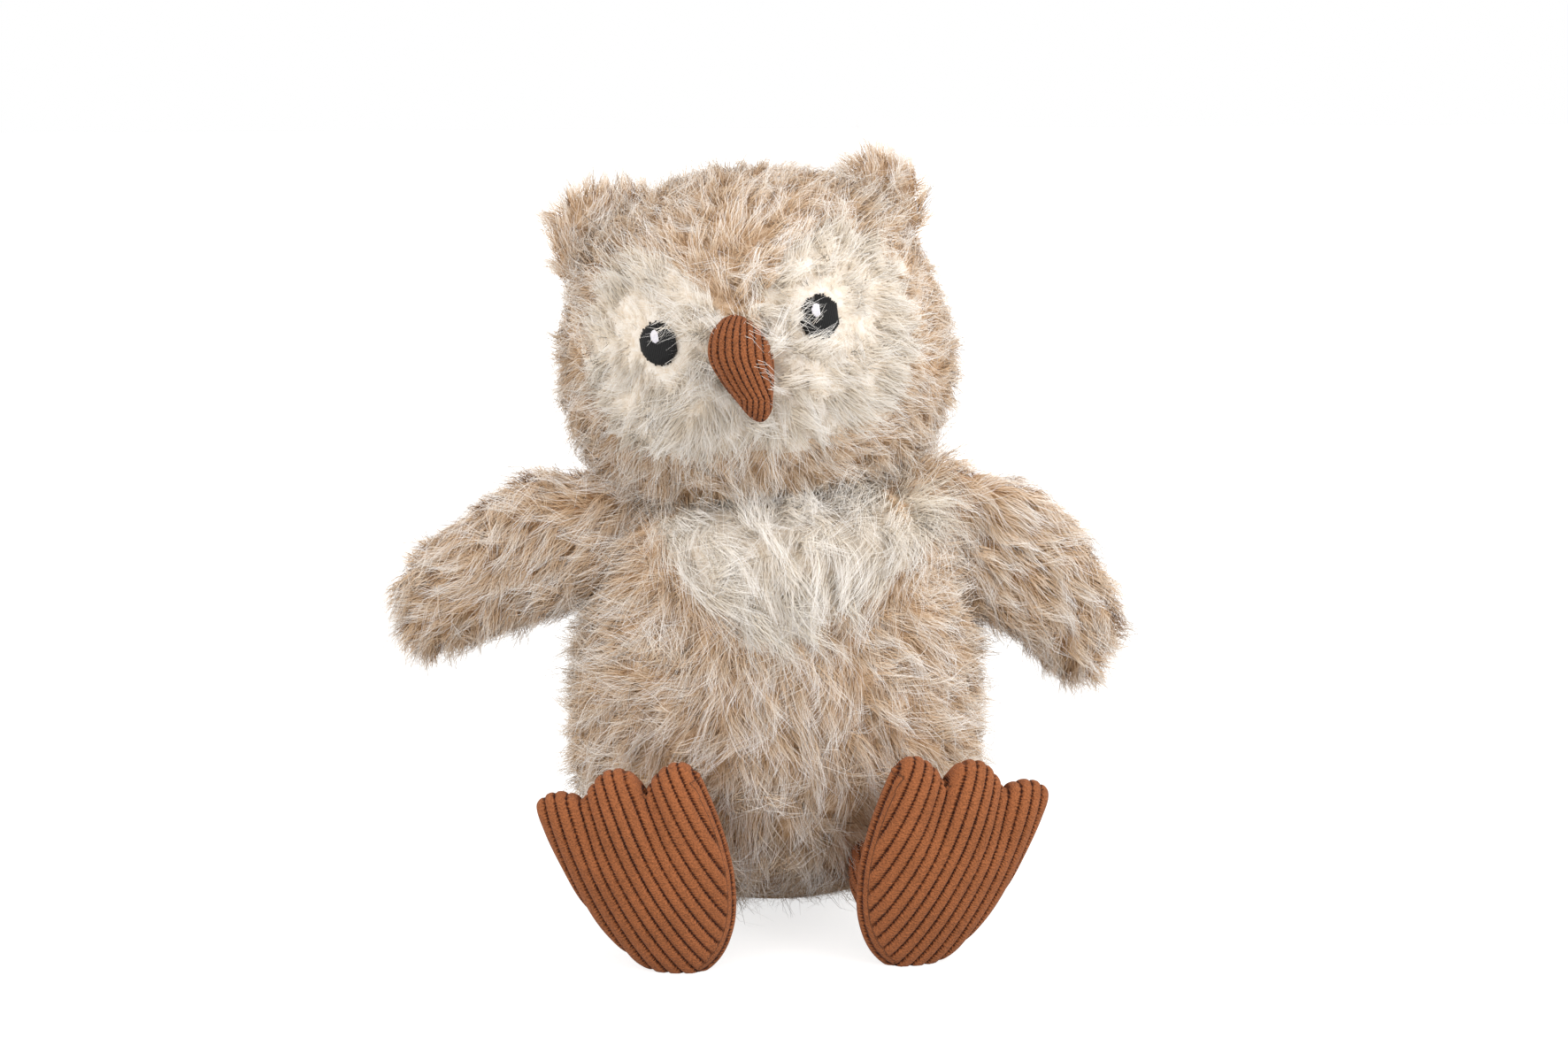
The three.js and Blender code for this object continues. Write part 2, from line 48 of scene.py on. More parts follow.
# A distance past anything on the owl
FAR_OFF = 1e9
# From the millimetres that the owl is built in to those of the frame
TOY_SHIFT = (3.357, 9.110, 0.0)
Shares = Sequence[tuple[float, float]]
Array = np.ndarray


# ---- Numbers, colours and nodes ----


def linear(code: str) -> tuple[float, float, float, float]:
    """Turn an sRGB hex colour into linear light.

    Args:
        code: Colour written as #rrggbb.

    Returns:
        Red, green, blue and a full alpha.
    """
    parts = [int(code[i:i + 2], 16) / 255 for i in (1, 3, 5)]
    light = [c / 12.92 if c <= 0.04045 else ((c + 0.055) / 1.055) ** 2.4 for c in parts]
    return (*light, 1.0)


def feed(tree: bpy.types.NodeTree, node: bpy.types.Node, inputs: dict) -> None:
    """Set a node's inputs to values, or link them to output sockets."""
    for key, value in inputs.items():
        if isinstance(value, bpy.types.NodeSocket):
            tree.links.new(value, node.inputs[key])
        else:
            node.inputs[key].default_value = value


def add(tree: bpy.types.NodeTree, kind: str, inputs: dict, **settings) -> bpy.types.Node:
    """Add one node with its settings, its input values and its links.

    Args:
        tree: Node tree that gets the node.
        kind: Blender's identifier of the node.
        inputs: Values or output sockets by input name or number.
        settings: Properties set on the node.

    Returns:
        The new node.
    """
    node = tree.nodes.new(kind)
    for name, value in settings.items():
        setattr(node, name, value)
    feed(tree, node, inputs)
    return node


# Kinds of node by a short name: Blender's identifier, its settings, and the sockets that
# the values of a row go to
NUMBERED = (0, 1, 2, 3, 4)
KINDS: dict[str, tuple[str, dict, tuple]] = {
    **{name: ("ShaderNodeMath", {"operation": name}, NUMBERED)
       for name in ("ABSOLUTE", "ADD", "DIVIDE", "FRACT", "MAXIMUM", "MULTIPLY", "MULTIPLY_ADD",
                    "POWER", "SQRT", "SUBTRACT")},
    **{"V_" + name: ("ShaderNodeVectorMath", {"operation": name}, NUMBERED)
       for name in ("ADD", "CROSS_PRODUCT", "DOT_PRODUCT", "LENGTH", "MAXIMUM", "NORMALIZE",
                    "SUBTRACT")},
    "V_SCALE": ("ShaderNodeVectorMath", {"operation": "SCALE"}, (0, "Scale")),
    "MIX_VECTORS": ("ShaderNodeMix", {"data_type": "VECTOR"}, (0, 4, 5)),
    "TINT": ("ShaderNodeMix", {"data_type": "RGBA", "blend_type": "MULTIPLY"}, (0, 6, 7)),
    "NOISE": ("ShaderNodeTexNoise", {}, ("Vector", "Scale", "Detail", "Distortion")),
    "RANGE": ("ShaderNodeMapRange", {}, NUMBERED),
    "SMOOTH_RANGE": ("ShaderNodeMapRange", {"interpolation_type": "SMOOTHSTEP"}, NUMBERED),
    "RAMP": ("ShaderNodeValToRGB", {}, NUMBERED),
    "BUMP": ("ShaderNodeBump", {}, ("Strength", "Distance", "Height")),
    "SPLIT": ("ShaderNodeSeparateXYZ", {}, NUMBERED),
    "JOIN": ("ShaderNodeCombineXYZ", {}, ("X", "Y", "Z")),
    "SPACE": ("ShaderNodeTexCoord", {}, ()),
    "CORD": ("ShaderNodeAttribute", {"attribute_name": "cord"}, ()),
    "PILE_MAP": ("ShaderNodeUVMap", {"uv_map": "Pile"}, ()),
    "SCATTER": ("GeometryNodeDistributePointsOnFaces", {}, ("Mesh", "Density", "Seed")),
    "SCATTER_APART": ("GeometryNodeDistributePointsOnFaces", {"distribute_method": "POISSON"},
                      ("Mesh", "Distance Min", "Density Max", "Seed")),
    "SAMPLE": ("GeometryNodeSampleIndex", {"data_type": "FLOAT_VECTOR"}, ("Geometry", "Value", "Index")),
    "RANDOM": ("FunctionNodeRandomValue", {"data_type": "FLOAT"}, (2, 3, "Seed")),
    "RANDOM_VECTOR": ("FunctionNodeRandomValue", {"data_type": "FLOAT_VECTOR"}, (0, 1, "Seed")),
    **{"KEEP" + tail: ("GeometryNodeStoreNamedAttribute", {"data_type": kind, "domain": domain},
                       ("Geometry", "Name", "Value"))
       for tail, kind, domain in (("", "FLOAT", "POINT"), ("_VECTOR", "FLOAT_VECTOR", "POINT"),
                                  ("_MAP", "FLOAT2", "CORNER"))},
    "READ": ("GeometryNodeInputNamedAttribute", {"data_type": "FLOAT"}, ("Name",)),
    "READ_VECTOR": ("GeometryNodeInputNamedAttribute", {"data_type": "FLOAT_VECTOR"}, ("Name",)),
    "COPIES": ("GeometryNodeInstanceOnPoints", {}, ("Points", "Instance")),
    "REALIZE": ("GeometryNodeRealizeInstances", {}, NUMBERED),
    "LINE": ("GeometryNodeMeshLine", {}, ("Count",)),
    "PLACE": ("GeometryNodeSetPosition", {}, ("Geometry", "Position")),
    "LIGHT": ("GeometryNodeSetMeshNormal", {"mode": "FREE", "domain": "POINT"},
              ("Mesh", "Custom Normal")),
    "SMOOTH": ("GeometryNodeSetShadeSmooth", {}, NUMBERED),
    "COVER": ("GeometryNodeSetMaterial", {}, (0, "Material")),
}


def found(made: dict[str, bpy.types.Node], value: object) -> object:
    """The output socket that the text "@name" or "@name:Socket" means, or the value itself."""
    if not (isinstance(value, str) and value.startswith("@")):
        return value
    source, _, socket = value[1:].partition(":")
    return made[source].outputs[int(socket) if socket.isdigit() else socket or 0]


def wire(tree: bpy.types.NodeTree, rows: Sequence[tuple]) -> dict[str, bpy.types.Node]:
    """Build a chain of nodes from rows that name each other.

    Args:
        tree: Node tree that gets the nodes.
        rows: (name, kind, *values) rows, or (name, kind, values by socket). A text value
            "@name" or "@name:Socket" means the output of an earlier row.

    Returns:
        The nodes by their names in the rows.
    """
    made: dict[str, bpy.types.Node] = {}
    for name, kind, *values in rows:
        identifier, settings, places = KINDS.get(kind, (kind, {}, NUMBERED))
        inputs = values[0] if values and isinstance(values[0], dict) else dict(zip(places, values))
        made[name] = add(tree, identifier, {key: found(made, value) for key, value in inputs.items()},
                         **settings)
    return made


def make_material(name: str, rows: Sequence[tuple], ramps: dict[str, Sequence[tuple[float, str]]],
                  values: dict[str, object]) -> bpy.types.Material:
    """Make a material whose Principled shader takes plain values and outputs of nodes.

    Args:
        name: What the material is.
        rows: Rows of its nodes.
        ramps: Stops of each colour ramp among them: places from 0 to 1 with hex colours.
        values: Values or "@name" texts by the shader's input.

    Returns:
        The new material.
    """
    made = bpy.data.materials.new(name)
    made.use_nodes = True
    nodes = wire(made.node_tree, rows)
    for key, stops in ramps.items():
        ramp = nodes[key].color_ramp
        while len(ramp.elements) < len(stops):
            ramp.elements.new(1.0)
        for element, (place, code) in zip(ramp.elements, stops):
            element.position = place
            element.color = linear(code)
    feed(made.node_tree, made.node_tree.nodes["Principled BSDF"],
         {key: found(nodes, value) for key, value in values.items()})
    return made


def put(name: str, data: bpy.types.ID) -> bpy.types.Object:
    """Put a mesh, a camera or a lamp into the scene as one object."""
    made = bpy.data.objects.new(name, data)
    bpy.context.scene.collection.objects.link(made)
    return made


def vertex_rows(mesh: bpy.types.Mesh, key: str) -> Array:
    """One row of three numbers, "co" or "normal", for each vertex of a mesh."""
    flat = np.zeros(len(mesh.vertices) * 3, np.float32)
    mesh.vertices.foreach_get(key, flat)
    return flat.reshape(-1, 3)


def hand_in(piece: bpy.types.Object, body: str, nodes: Sequence[str]) -> None:
    """Tell the frame what a piece is.

    Args:
        piece: The finished piece.
        body: Body that it rides on.
        nodes: Nodes of the part that it replaces.
    """
    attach(piece, body)
    if nodes:
        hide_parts(*nodes)
    log.info("%s: %d triangles", piece.name, len(piece.data.loops) - 2 * len(piece.data.polygons))


def smoothstep(value: Array, low: float, high: float) -> Array:
    """Smooth rise from 0 at low to 1 at high."""
    share = np.clip((np.asarray(value, float) - low) / (high - low), 0, 1)
    return share * share * (3 - 2 * share)


def unit(vectors: Array) -> Array:
    """Vectors with a length of one."""
    size = np.linalg.norm(vectors, axis=-1, keepdims=True)
    return vectors / np.maximum(size, 1e-12)


def turn(x: float = 0.0, y: float = 0.0, z: float = 0.0) -> Array:
    """Rotation matrix for angles in degrees, turned about X first, then Y, then Z."""
    cx, sx, cy, sy, cz, sz = (f(math.radians(a)) for a in (x, y, z) for f in (math.cos, math.sin))
    about_x = np.array([[1, 0, 0], [0, cx, -sx], [0, sx, cx]])
    about_y = np.array([[cy, 0, sy], [0, 1, 0], [-sy, 0, cy]])
    about_z = np.array([[cz, -sz, 0], [sz, cz, 0], [0, 0, 1]])
    return about_z @ about_y @ about_x


@dataclass(frozen=True)
class Place:
    """Where a local frame stands in the toy, in millimetres."""

    origin: tuple[float, float, float] = (0.0, 0.0, 0.0)
    rotation: Array = field(default_factory=lambda: np.eye(3))

    def out(self, points: Array) -> Array:
        """Local points as points of the toy."""
        return points @ self.rotation.T + np.array(self.origin)

    def directions(self, vectors: Array) -> Array:
        """Local directions as directions of the toy."""
        return vectors @ self.rotation.T

    def local(self, points: Array) -> Array:
        """Points of the toy as local points."""
        return (points - np.array(self.origin)) @ self.rotation

    def inside(self, other: "Place") -> "Place":
        """This place, when its numbers are local to another place."""
        return Place(tuple(other.out(np.array(self.origin))), other.rotation @ self.rotation)


# ---- Forms ----


def spline_profile(shares: Shares, count: int) -> Array:
    """Evenly spaced points of a smooth open line through given shares.

    Args:
        shares: Points as (up, out) shares.
        count: How many points to return.

    Returns:
        Array of (up, out) rows.
    """
    points = np.array(shares, float)
    spans = len(points) - 1
    steps = np.linspace(0, spans, 60 * spans + 1)
    index = np.minimum(steps.astype(int), spans - 1)
    share = (steps - index)[:, None]
    p0, p1 = points[np.maximum(index - 1, 0)], points[index]
    p2, p3 = points[index + 1], points[np.minimum(index + 2, spans)]
    v0, v1 = (p2 - p0) / 2, (p3 - p1) / 2
    line = (2 * p1 - 2 * p2 + v0 + v1) * share ** 3 + (3 * p2 - 3 * p1 - 2 * v0 - v1) * share ** 2
    return even_spacing(line + v0 * share + p1, count, closed=False)


def even_spacing(line: Array, count: int, closed: bool) -> Array:
    """Points evenly spaced by length along a dense line.

    Args:
        line: Dense points of the line.
        count: How many points to return.
        closed: Whether the last point would repeat the first.

    Returns:
        The evenly spaced points.
    """
    reach = np.concatenate([[0], np.cumsum(np.linalg.norm(np.diff(line, axis=0), axis=1))])
    places = np.linspace(0, reach[-1], count + 1)[:-1] if closed else np.linspace(0, reach[-1], count)
    return np.stack([np.interp(places, reach, line[:, k]) for k in range(line.shape[1])], 1)


def smooth_outline(shares: Shares, width: float, height: float, count: int) -> Array:
    """Points of a closed smooth outline through shares of a width and a height.

    Args:
        shares: Points as (across, up) shares.
        width: Width in millimetres.
        height: Height in millimetres.
        count: How many points to return.

    Returns:
        Array of (across, up) rows in millimetres.
    """
    points = np.array(shares, float) * (width, height)
    total = len(points)
    line = []
    for i in range(total):
        p0, p1, p2, p3 = (points[(i + k) % total] for k in (-1, 0, 1, 2))
        d0, d1, d2 = (max(np.linalg.norm(b - a), 1e-6) ** 0.5 for a, b in ((p0, p1), (p1, p2), (p2, p3)))
        t1 = ((p1 - p0) / d0 - (p2 - p0) / (d0 + d1) + (p2 - p1) / d1) * d1
        t2 = ((p2 - p1) / d1 - (p3 - p1) / (d1 + d2) + (p3 - p2) / d2) * d1
        for share in np.linspace(0, 1, 40, endpoint=False):
            line.append(
                (2 * p1 - 2 * p2 + t1 + t2) * share ** 3
                + (3 * p2 - 3 * p1 - 2 * t1 - t2) * share ** 2 + t1 * share + p1
            )
    line.append(points[0])
    return even_spacing(np.array(line), count, closed=True)


def inside_outline(points: Array, outline: Array) -> Array:
    """Whether points of a plane lie inside a closed outline.

    Args:
        points: Rows of (x, z).
        outline: Rows of (x, z) round the outline.

    Returns:
        One truth value for each point.
    """
    x, z = points[:, 0], points[:, 1]
    inside = np.zeros(len(points), bool)
    for (ax, az), (bx, bz) in zip(outline, np.roll(outline, -1, axis=0)):
        spans = (az > z) != (bz > z)
        crossing = ax + (z - az) * (bx - ax) / ((bz - az) or 1e-9)
        inside ^= spans & (x < crossing)
    return inside


def lathe_faces(rows: int, sides: int) -> list[tuple[int, ...]]:
    """Faces of stacked rings of points, closed by a foot and a top point listed after them.

    Args:
        rows: How many rings there are.
        sides: Points in each ring.

    Returns:
        Triangles and quads by the numbers of their points.
    """
    faces: list[tuple[int, ...]] = []
    foot, last = rows * sides, (rows - 1) * sides
    for side in range(sides):
        after = (side + 1) % sides
        faces.append((foot, after, side))
        for low in range(0, last, sides):
            high = low + sides
            faces.append((low + side, low + after, high + after, high + side))
        faces.append((last + side, last + after, foot + 1))
    return faces


@dataclass
class Form:
    """A closed quad and triangle mesh in the toy's millimetres."""

    points: Array
    faces: list[tuple[int, ...]]

    def moved(self, place: Place) -> "Form":
        """The form carried from a local frame into the toy."""
        return Form(place.out(self.points), self.faces)

    def mesh(self, name: str) -> bpy.types.Mesh:
        """The form as a smooth mesh of the shared frame, in metres.

        Args:
            name: Name of the mesh.

        Returns:
            The new mesh.
        """
        mesh = bpy.data.meshes.new(name)
        placed = (self.points + np.array(TOY_SHIFT)) * MM
        mesh.from_pydata(placed.tolist(), [], [list(f) for f in self.faces])
        mesh.validate()
        mesh.polygons.foreach_set("use_smooth", np.ones(len(mesh.polygons), bool))
        mesh.update()
        return mesh


@dataclass(frozen=True)
class Swelling:
    """A lathe form, wider than deep, that stands on z = 0 and swells by its shares."""

    width: float
    depth: float
    height: float
    radius_shares: Shares
    round_shares: tuple[float, float] | None = None

    def form(self, grow: float, sides: int, rings: int) -> Form:
        """Build the form, grown outward or drawn in.

        Args:
            grow: Millimetres to grow by, below zero to draw in.
            sides: Columns round the form.
            rings: Rows from the foot to the top.

        Returns:
            The closed form.
        """
        radius, rise = self.width / 2 + grow, self.height + 2 * grow
        profile = spline_profile(self.radius_shares, rings)
        up = np.clip(profile[:, 0], 0, 1)
        out = np.maximum(profile[:, 1], 0) * radius
        angles = np.linspace(0, 2 * math.pi, sides, endpoint=False)
        flat = (self.depth / 2 + grow) / radius
        squeeze = np.full(len(up), flat)
        if self.round_shares:
            squeeze = flat + (1 - flat) * smoothstep(up, *self.round_shares)
        rows = np.stack([
            out[:-1, None] * np.sin(angles)[None],
            -out[:-1, None] * np.cos(angles)[None] * squeeze[:-1, None],
            np.repeat(up[:-1, None] * rise, sides, 1),
        ], -1)
        points = np.concatenate([rows.reshape(-1, 3), [[0, 0, 0], [0, 0, rise]]])
        points[:, 2] -= grow
        return Form(points, lathe_faces(len(up) - 1, sides))


@dataclass(frozen=True)
class Pillow:
    """A stuffed shape: an outline in XZ whose two faces swell toward -Y and +Y from one seam."""

    outline: Array
    centre: tuple[float, float]
    front_rise: float
    back_rise: float
    fairing_share: float

    def form(self, grow: float, rings: int) -> Form:
        """Build the pillow, grown outward or drawn in.

        Args:
            grow: Millimetres to grow by, below zero to draw in.
            rings: Rows from the seam to each pole.

        Returns:
            The closed form.
        """
        centre = np.array(self.centre)
        away = self.outline - centre
        reach = np.linalg.norm(away, axis=1) + grow
        away = unit(away)
        count = len(reach)
        span = max(1, round(count * self.fairing_share))
        faired = np.mean([np.roll(reach, k) for k in range(-span, span + 1)], axis=0)
        points: list[Array] = []
        faces: list[tuple[int, ...]] = []

        def ring(share: float, y: float) -> int:
            """Add one ring of points and return its first number."""
            length = share * (faired + (reach - faired) * share ** 3)
            flat = centre + away * length[:, None]
            points.append(np.stack([flat[:, 0], np.full(count, y), flat[:, 1]], 1))
            return (len(points) - 1) * count

        seam = ring(1, 0)
        poles = []
        lasts = []
        for rise in (-(self.front_rise + grow), self.back_rise + grow):
            outer = seam
            for step in range(1, rings):
                angle = step / rings * math.pi / 2
                inner = ring(math.cos(angle), rise * math.sin(angle))
                for i in range(count):
                    j = (i + 1) % count
                    quad = (outer + i, outer + j, inner + j, inner + i)
                    faces.append(quad if rise < 0 else quad[::-1])
                outer = inner
            poles.append((centre[0], rise, centre[1]))
            lasts.append(outer)
        base = len(points) * count
        for k, outer in enumerate(lasts):
            for i in range(count):
                pair = (outer + i, outer + (i + 1) % count)
                faces.append((*(pair if k == 0 else pair[::-1]), base + k))
        form = Form(np.concatenate([*points, np.array(poles)]), faces)
        area = np.cross(self.outline, np.roll(self.outline, -1, axis=0)).sum()
        if area < 0:
            form.faces = [face[::-1] for face in form.faces]
        return form


# ---- Finishes ----


class Cloth(Enum):
    """Which dyed pile a panel is cut from."""

    TAN = "tan_pile"
    CREAM = "cream_pile"


@dataclass(frozen=True)
class PileFinish:
    """Long-pile acrylic plush: fine crimped fibres, dark at the root and bleached at the tip.

    The dark roots are partly the fibres' own dye and partly painted shade. That shade stands for
    the shade deep between the locks and gives soft depth there. Pale loose hairs lie on top,
    with a faint sheen along the lie of the pile. Every strand reads its own tone and its place
    from root to tip out of one UV map, so neighbouring hairs differ as dyed fibres do.
    """

    name: str
    tones: tuple[tuple[float, str], ...]
    root_shade: str
    middle_shade: str
    roughness: float = 0.75

    def material(self) -> bpy.types.Material:
        """Build the node material."""
        # Painted shade: each strand darkens toward its root, partly by its own dye and partly by shade
        # painted in for the depth of the pile
        shades = ((0.0, self.root_shade), (0.35, self.middle_shade), (0.8, "#ffffff"))
        return make_material(self.name, [
            ("place", "PILE_MAP"),
            ("parts", "SPLIT", "@place"),
            ("dye", "RAMP", "@parts:X"),
            ("depth", "RAMP", "@parts:Y"),
            ("worn", "TINT", 1.0, "@dye", "@depth"),
        ], {"dye": self.tones, "depth": shades},
            {"Base Color": "@worn:2", "Roughness": self.roughness, "Specular IOR Level": 0.25})


# Each finish lists the tones of its dye, then root and middle colours that are partly its own dye and partly
# painted shade deep in the pile
TAN_FINISH = PileFinish(
    "tan_acrylic_pile",
    ((0.0, "#d8bc9c"), (0.3, "#ead4bb"), (0.6, "#f3e4d3"), (0.72, "#f6ede4"), (0.8, "#faf6f1"),
     (1.0, "#fefdfc")),
    "#b38659", "#e9d8c2",
)
CREAM_FINISH = PileFinish(
    "cream_acrylic_pile",
    ((0.0, "#f3eadd"), (0.3, "#f6efe5"), (0.6, "#f8f3eb"), (0.8, "#f8f5f0"), (1.0, "#faf8f5")),
    "#eeddc7", "#f6eee1",
)


# ---- Pile ----


@dataclass(frozen=True)
class Strands:
    """One kind of fibre in the pile: sizes in millimetres, density per square centimetre."""

    kind: str
    density: float
    width: float
    rows: int
    length: float
    lift: float
    lock_spacing: float
    clumping: float
    unruly: float
    stray: float
    crimp: float
    curl: float
    frizz: float
    tones: tuple[float, float]
    root_tone: float = 0.3


# Short crinkled undercoat stands in woolly tufts; long bleached guard hairs gather in
# thin wisps over it. Both are drawn several times as thick as real fibres, and fewer, to
# keep the pile within two million triangles.
UNDERCOAT = Strands("undercoat", 305.0, 0.16, 4, 0.6, 1.15, 2.5, 0.62, 1.4, 0.8, 1.4, 1.8, 0.85,
                    (0.2, 0.5))
GUARD_HAIRS = Strands("guard_hairs", 106.0, 0.12, 5, 1.1, 1.1, 2.5, 0.85, 1.3, 0.34, 2.2, 4.6, 0.3,
                      (0.82, 1.0))


class Growth:
    """A Geometry Nodes tree that turns a mesh into a plain piece."""

    def __init__(self, name: str, plan: dict[str, str], rows: Sequence[tuple]) -> None:
        """Build the tree once, for every piece.

        Args:
            name: Name of the tree.
            plan: Kinds of its input sockets, such as "Float", by socket name.
            rows: Rows of its nodes.
        """
        self.tree = bpy.data.node_groups.new(name, "GeometryNodeTree")
        new_socket = self.tree.interface.new_socket
        self.sockets = {
            key: new_socket(key, in_out="INPUT", socket_type="NodeSocket" + kind).identifier
            for key, kind in plan.items()
        }
        new_socket("Made", in_out="OUTPUT", socket_type="NodeSocketGeometry")
        wire(self.tree, [("in", "NodeGroupInput"), *rows])

    def grow(self, name: str, mesh: bpy.types.Mesh, values: dict[str, object]) -> bpy.types.Object:
        """Grow one piece.

        Args:
            name: Name of the piece.
            mesh: Mesh that the tree reads.
            values: Values of the input sockets by socket name.

        Returns:
            The grown mesh as one plain piece.
        """
        base = put(name + "_base", mesh)
        growth = base.modifiers.new("Growth", "NODES")
        growth.node_group = self.tree
        for key, value in values.items():
            growth[self.sockets[key]] = value
        base.update_tag()
        graph = bpy.context.evaluated_depsgraph_get()
        made = bpy.data.meshes.new_from_object(base.evaluated_get(graph))
        made.name = name
        for layer in [a.name for a in made.attributes if a.name in SCRATCH_LAYERS]:
            made.attributes.remove(made.attributes[layer])
        piece = put(name, made)
        bpy.data.objects.remove(base)
        return piece


class PileTree(Growth):
    """Geometry Nodes tree that plants combed, clumped strands on a skin of cloth.

    A strand is a strip of cloth-coloured fibre. Its path is worked out for each of its
    points: up from the root, over to the way the pile lies, toward the path of its lock,
    round the body's curve, and off a little by its crimp.
    """

    def __init__(self) -> None:
        """Build the tree once, for every coat."""
        numbers = ("Density", "Lock Spacing", "Width", "Length", "Lift", "Clumping", "Unruly",
                   "Stray", "Crimp", "Curl", "Frizz", "Tone Root", "Tone Low", "Tone High")
        super().__init__("CombedStrands", {
            "Skin": "Geometry", **{name: "Float" for name in numbers}, "Rows": "Int", "Seed": "Int",
            "Lock Seed": "Int", "Cloth": "Material",
        }, [*self._roots(), *self._lie(), *self._path(), *self._strip()])

    @staticmethod
    def _roots() -> list[tuple]:
        """Rows that scatter the roots and lay one flat strip on each."""
        whim = ((-1.0, -1.0, -1.0), (1.0, 1.0, 1.0))
        rows: list[tuple] = [
            ("here", "GeometryNodeInputPosition"),
            ("roots", "SCATTER", "@in:Skin", "@in:Density", "@in:Seed"),
            # The sparser roots that locks gather round, no closer than their spacing
            ("locks", "SCATTER_APART", "@in:Skin", "@in:Lock Spacing", 400000.0, "@in:Lock Seed"),
            ("nearest", "GeometryNodeSampleNearest", "@locks:Points"),
            ("lock root value", "SAMPLE", "@locks:Points", "@here", "@nearest"),
            ("lock whim", "RANDOM_VECTOR", *whim, 3),
            ("lock turn value", "SAMPLE", "@locks:Points", "@lock whim", "@nearest"),
            ("own whim", "RANDOM_VECTOR", *whim, 11),
            ("own luck", "RANDOM", 0.0, 1.0, 23),
        ]
        last = "@roots:Points"
        for name, value in (
            ("root", "@here"), ("nap", "@roots:Normal"), ("lock_root", "@lock root value"),
            ("lock_turn", "@lock turn value"), ("whim", "@own whim"), ("chance", "@own luck:1"),
        ):
            rows.append(("keep " + name, "KEEP" if name == "chance" else "KEEP_VECTOR", last, name, value))
            last = "@keep " + name
        rows += [
            ("flat strip", "GeometryNodeMeshGrid",
             {"Size X": 1.0, "Size Y": 1.0, "Vertices X": 2, "Vertices Y": "@in:Rows"}),
            ("spot", "SPLIT", "@here"),
            ("up", "ADD", "@spot:Y", 0.5),
            ("keep across", "KEEP", "@flat strip", "across", "@spot:X"),
            ("keep along", "KEEP", "@keep across", "along", "@up"),
            ("copies", "COPIES", last, "@keep along"),
            ("laid", "REALIZE", "@copies"),
        ]
        for name in ("along", "across", "chance", "pile_length", "lift", "hug", "unruly"):
            rows.append((name, "READ", name))
        for name in ("root", "nap", "comb", "whim", "lock_root", "lock_turn"):
            rows.append((name, "READ_VECTOR", name))
        return rows

    @staticmethod
    def _lie() -> list[tuple]:
        """Rows for the way the pile lies: combed, drifting, turned lock by lock, and stray."""
        rows: list[tuple] = [
            ("drift noise", "NOISE", "@root", 110.0, 2.5),
            ("drift", "V_SUBTRACT", "@drift noise:Color", (0.5, 0.5, 0.5)),
            ("drifting", "V_SCALE", "@drift", 2.6),
            ("combed", "V_ADD", "@comb", "@drifting"),
            ("unruled", "MULTIPLY", "@unruly", "@in:Unruly"),
            ("turned", "V_SCALE", "@lock_turn", "@unruled"),
            ("lock way", "V_ADD", "@combed", "@turned"),
            ("strayed", "V_SCALE", "@whim", "@in:Stray"),
            ("own way", "V_ADD", "@lock way", "@strayed"),
        ]
        for name, source in (("lie", "@lock way"), ("lean", "@own way")):
            rows += [
                (name + " upright", "V_DOT_PRODUCT", source, "@nap"),
                (name + " rise", "V_SCALE", "@nap", f"@{name} upright:Value"),
                (name + " flat", "V_SUBTRACT", source, f"@{name} rise"),
                (name, "V_NORMALIZE", f"@{name} flat"),
            ]
        return rows

    @staticmethod
    def _path() -> list[tuple]:
        """Rows for the line each strand follows from its root to its tip."""
        return [
            # How far along and how high over the cloth each point of a strand is
            ("grown", "MULTIPLY", "@pile_length", "@in:Length"),
            ("long", "MULTIPLY_ADD", "@chance", 0.5, 0.72),
            ("length", "MULTIPLY", "@grown", "@long"),
            ("raised", "MULTIPLY", "@lift", "@in:Lift"),
            ("steep", "MULTIPLY_ADD", "@chance", 0.5, 0.75),
            ("lock parts", "SPLIT", "@lock_turn"),
            ("puff", "MULTIPLY_ADD", "@lock parts:X", 0.45, 1.0),
            ("puffed", "MULTIPLY", "@raised", "@puff"),
            ("rise", "MULTIPLY", "@puffed", "@steep"),
            ("arch", "SUBTRACT", 1.6, "@along"),
            ("arched", "MULTIPLY", "@along", "@arch"),
            ("high", "MULTIPLY", "@arched", "@rise"),
            ("height", "MULTIPLY", "@high", "@length"),
            ("lean in", "MULTIPLY_ADD", "@along", 0.55, 0.45),
            ("leaned", "MULTIPLY", "@along", "@lean in"),
            ("reach", "MULTIPLY", "@leaned", "@length"),
            ("reach squared", "MULTIPLY", "@reach", "@reach"),
            ("fall", "MULTIPLY", "@reach squared", "@hug"),
            ("clear", "SUBTRACT", "@height", "@fall"),
            ("over", "V_SCALE", "@nap", "@clear"),
            # The strand's own path and its lock's path, drawn together toward the tip
            ("own run", "V_SCALE", "@lean", "@reach"),
            ("own start", "V_ADD", "@root", "@over"),
            ("own path", "V_ADD", "@own start", "@own run"),
            ("lock run", "V_SCALE", "@lie", "@reach"),
            ("lock start", "V_ADD", "@lock_root", "@over"),
            ("lock path", "V_ADD", "@lock start", "@lock run"),
            ("tipward", "POWER", "@along", 1.2),
            ("pull", "MULTIPLY", "@tipward", "@in:Clumping"),
            ("path", "MIX_VECTORS", "@pull", "@own path", "@lock path"),
            # Crimp: neighbours wave together where frizz is low
            ("own spot", "V_SCALE", "@whim", "@in:Frizz"),
            ("fineness", "DIVIDE", 1.0, "@in:Curl"),
            ("waves at", "V_SCALE", "@path:1", "@fineness"),
            ("wave spot", "V_ADD", "@waves at", "@own spot"),
            ("wave noise", "NOISE", "@wave spot", 1.0, 1.5),
            ("wave", "V_SUBTRACT", "@wave noise:Color", (0.5, 0.5, 0.5)),
            ("loose", "POWER", "@along", 0.8),
            ("sway", "MULTIPLY", "@loose", "@in:Crimp"),
            ("crimp", "V_SCALE", "@wave", "@sway"),
            ("spine", "V_ADD", "@path:1", "@crimp"),
        ]

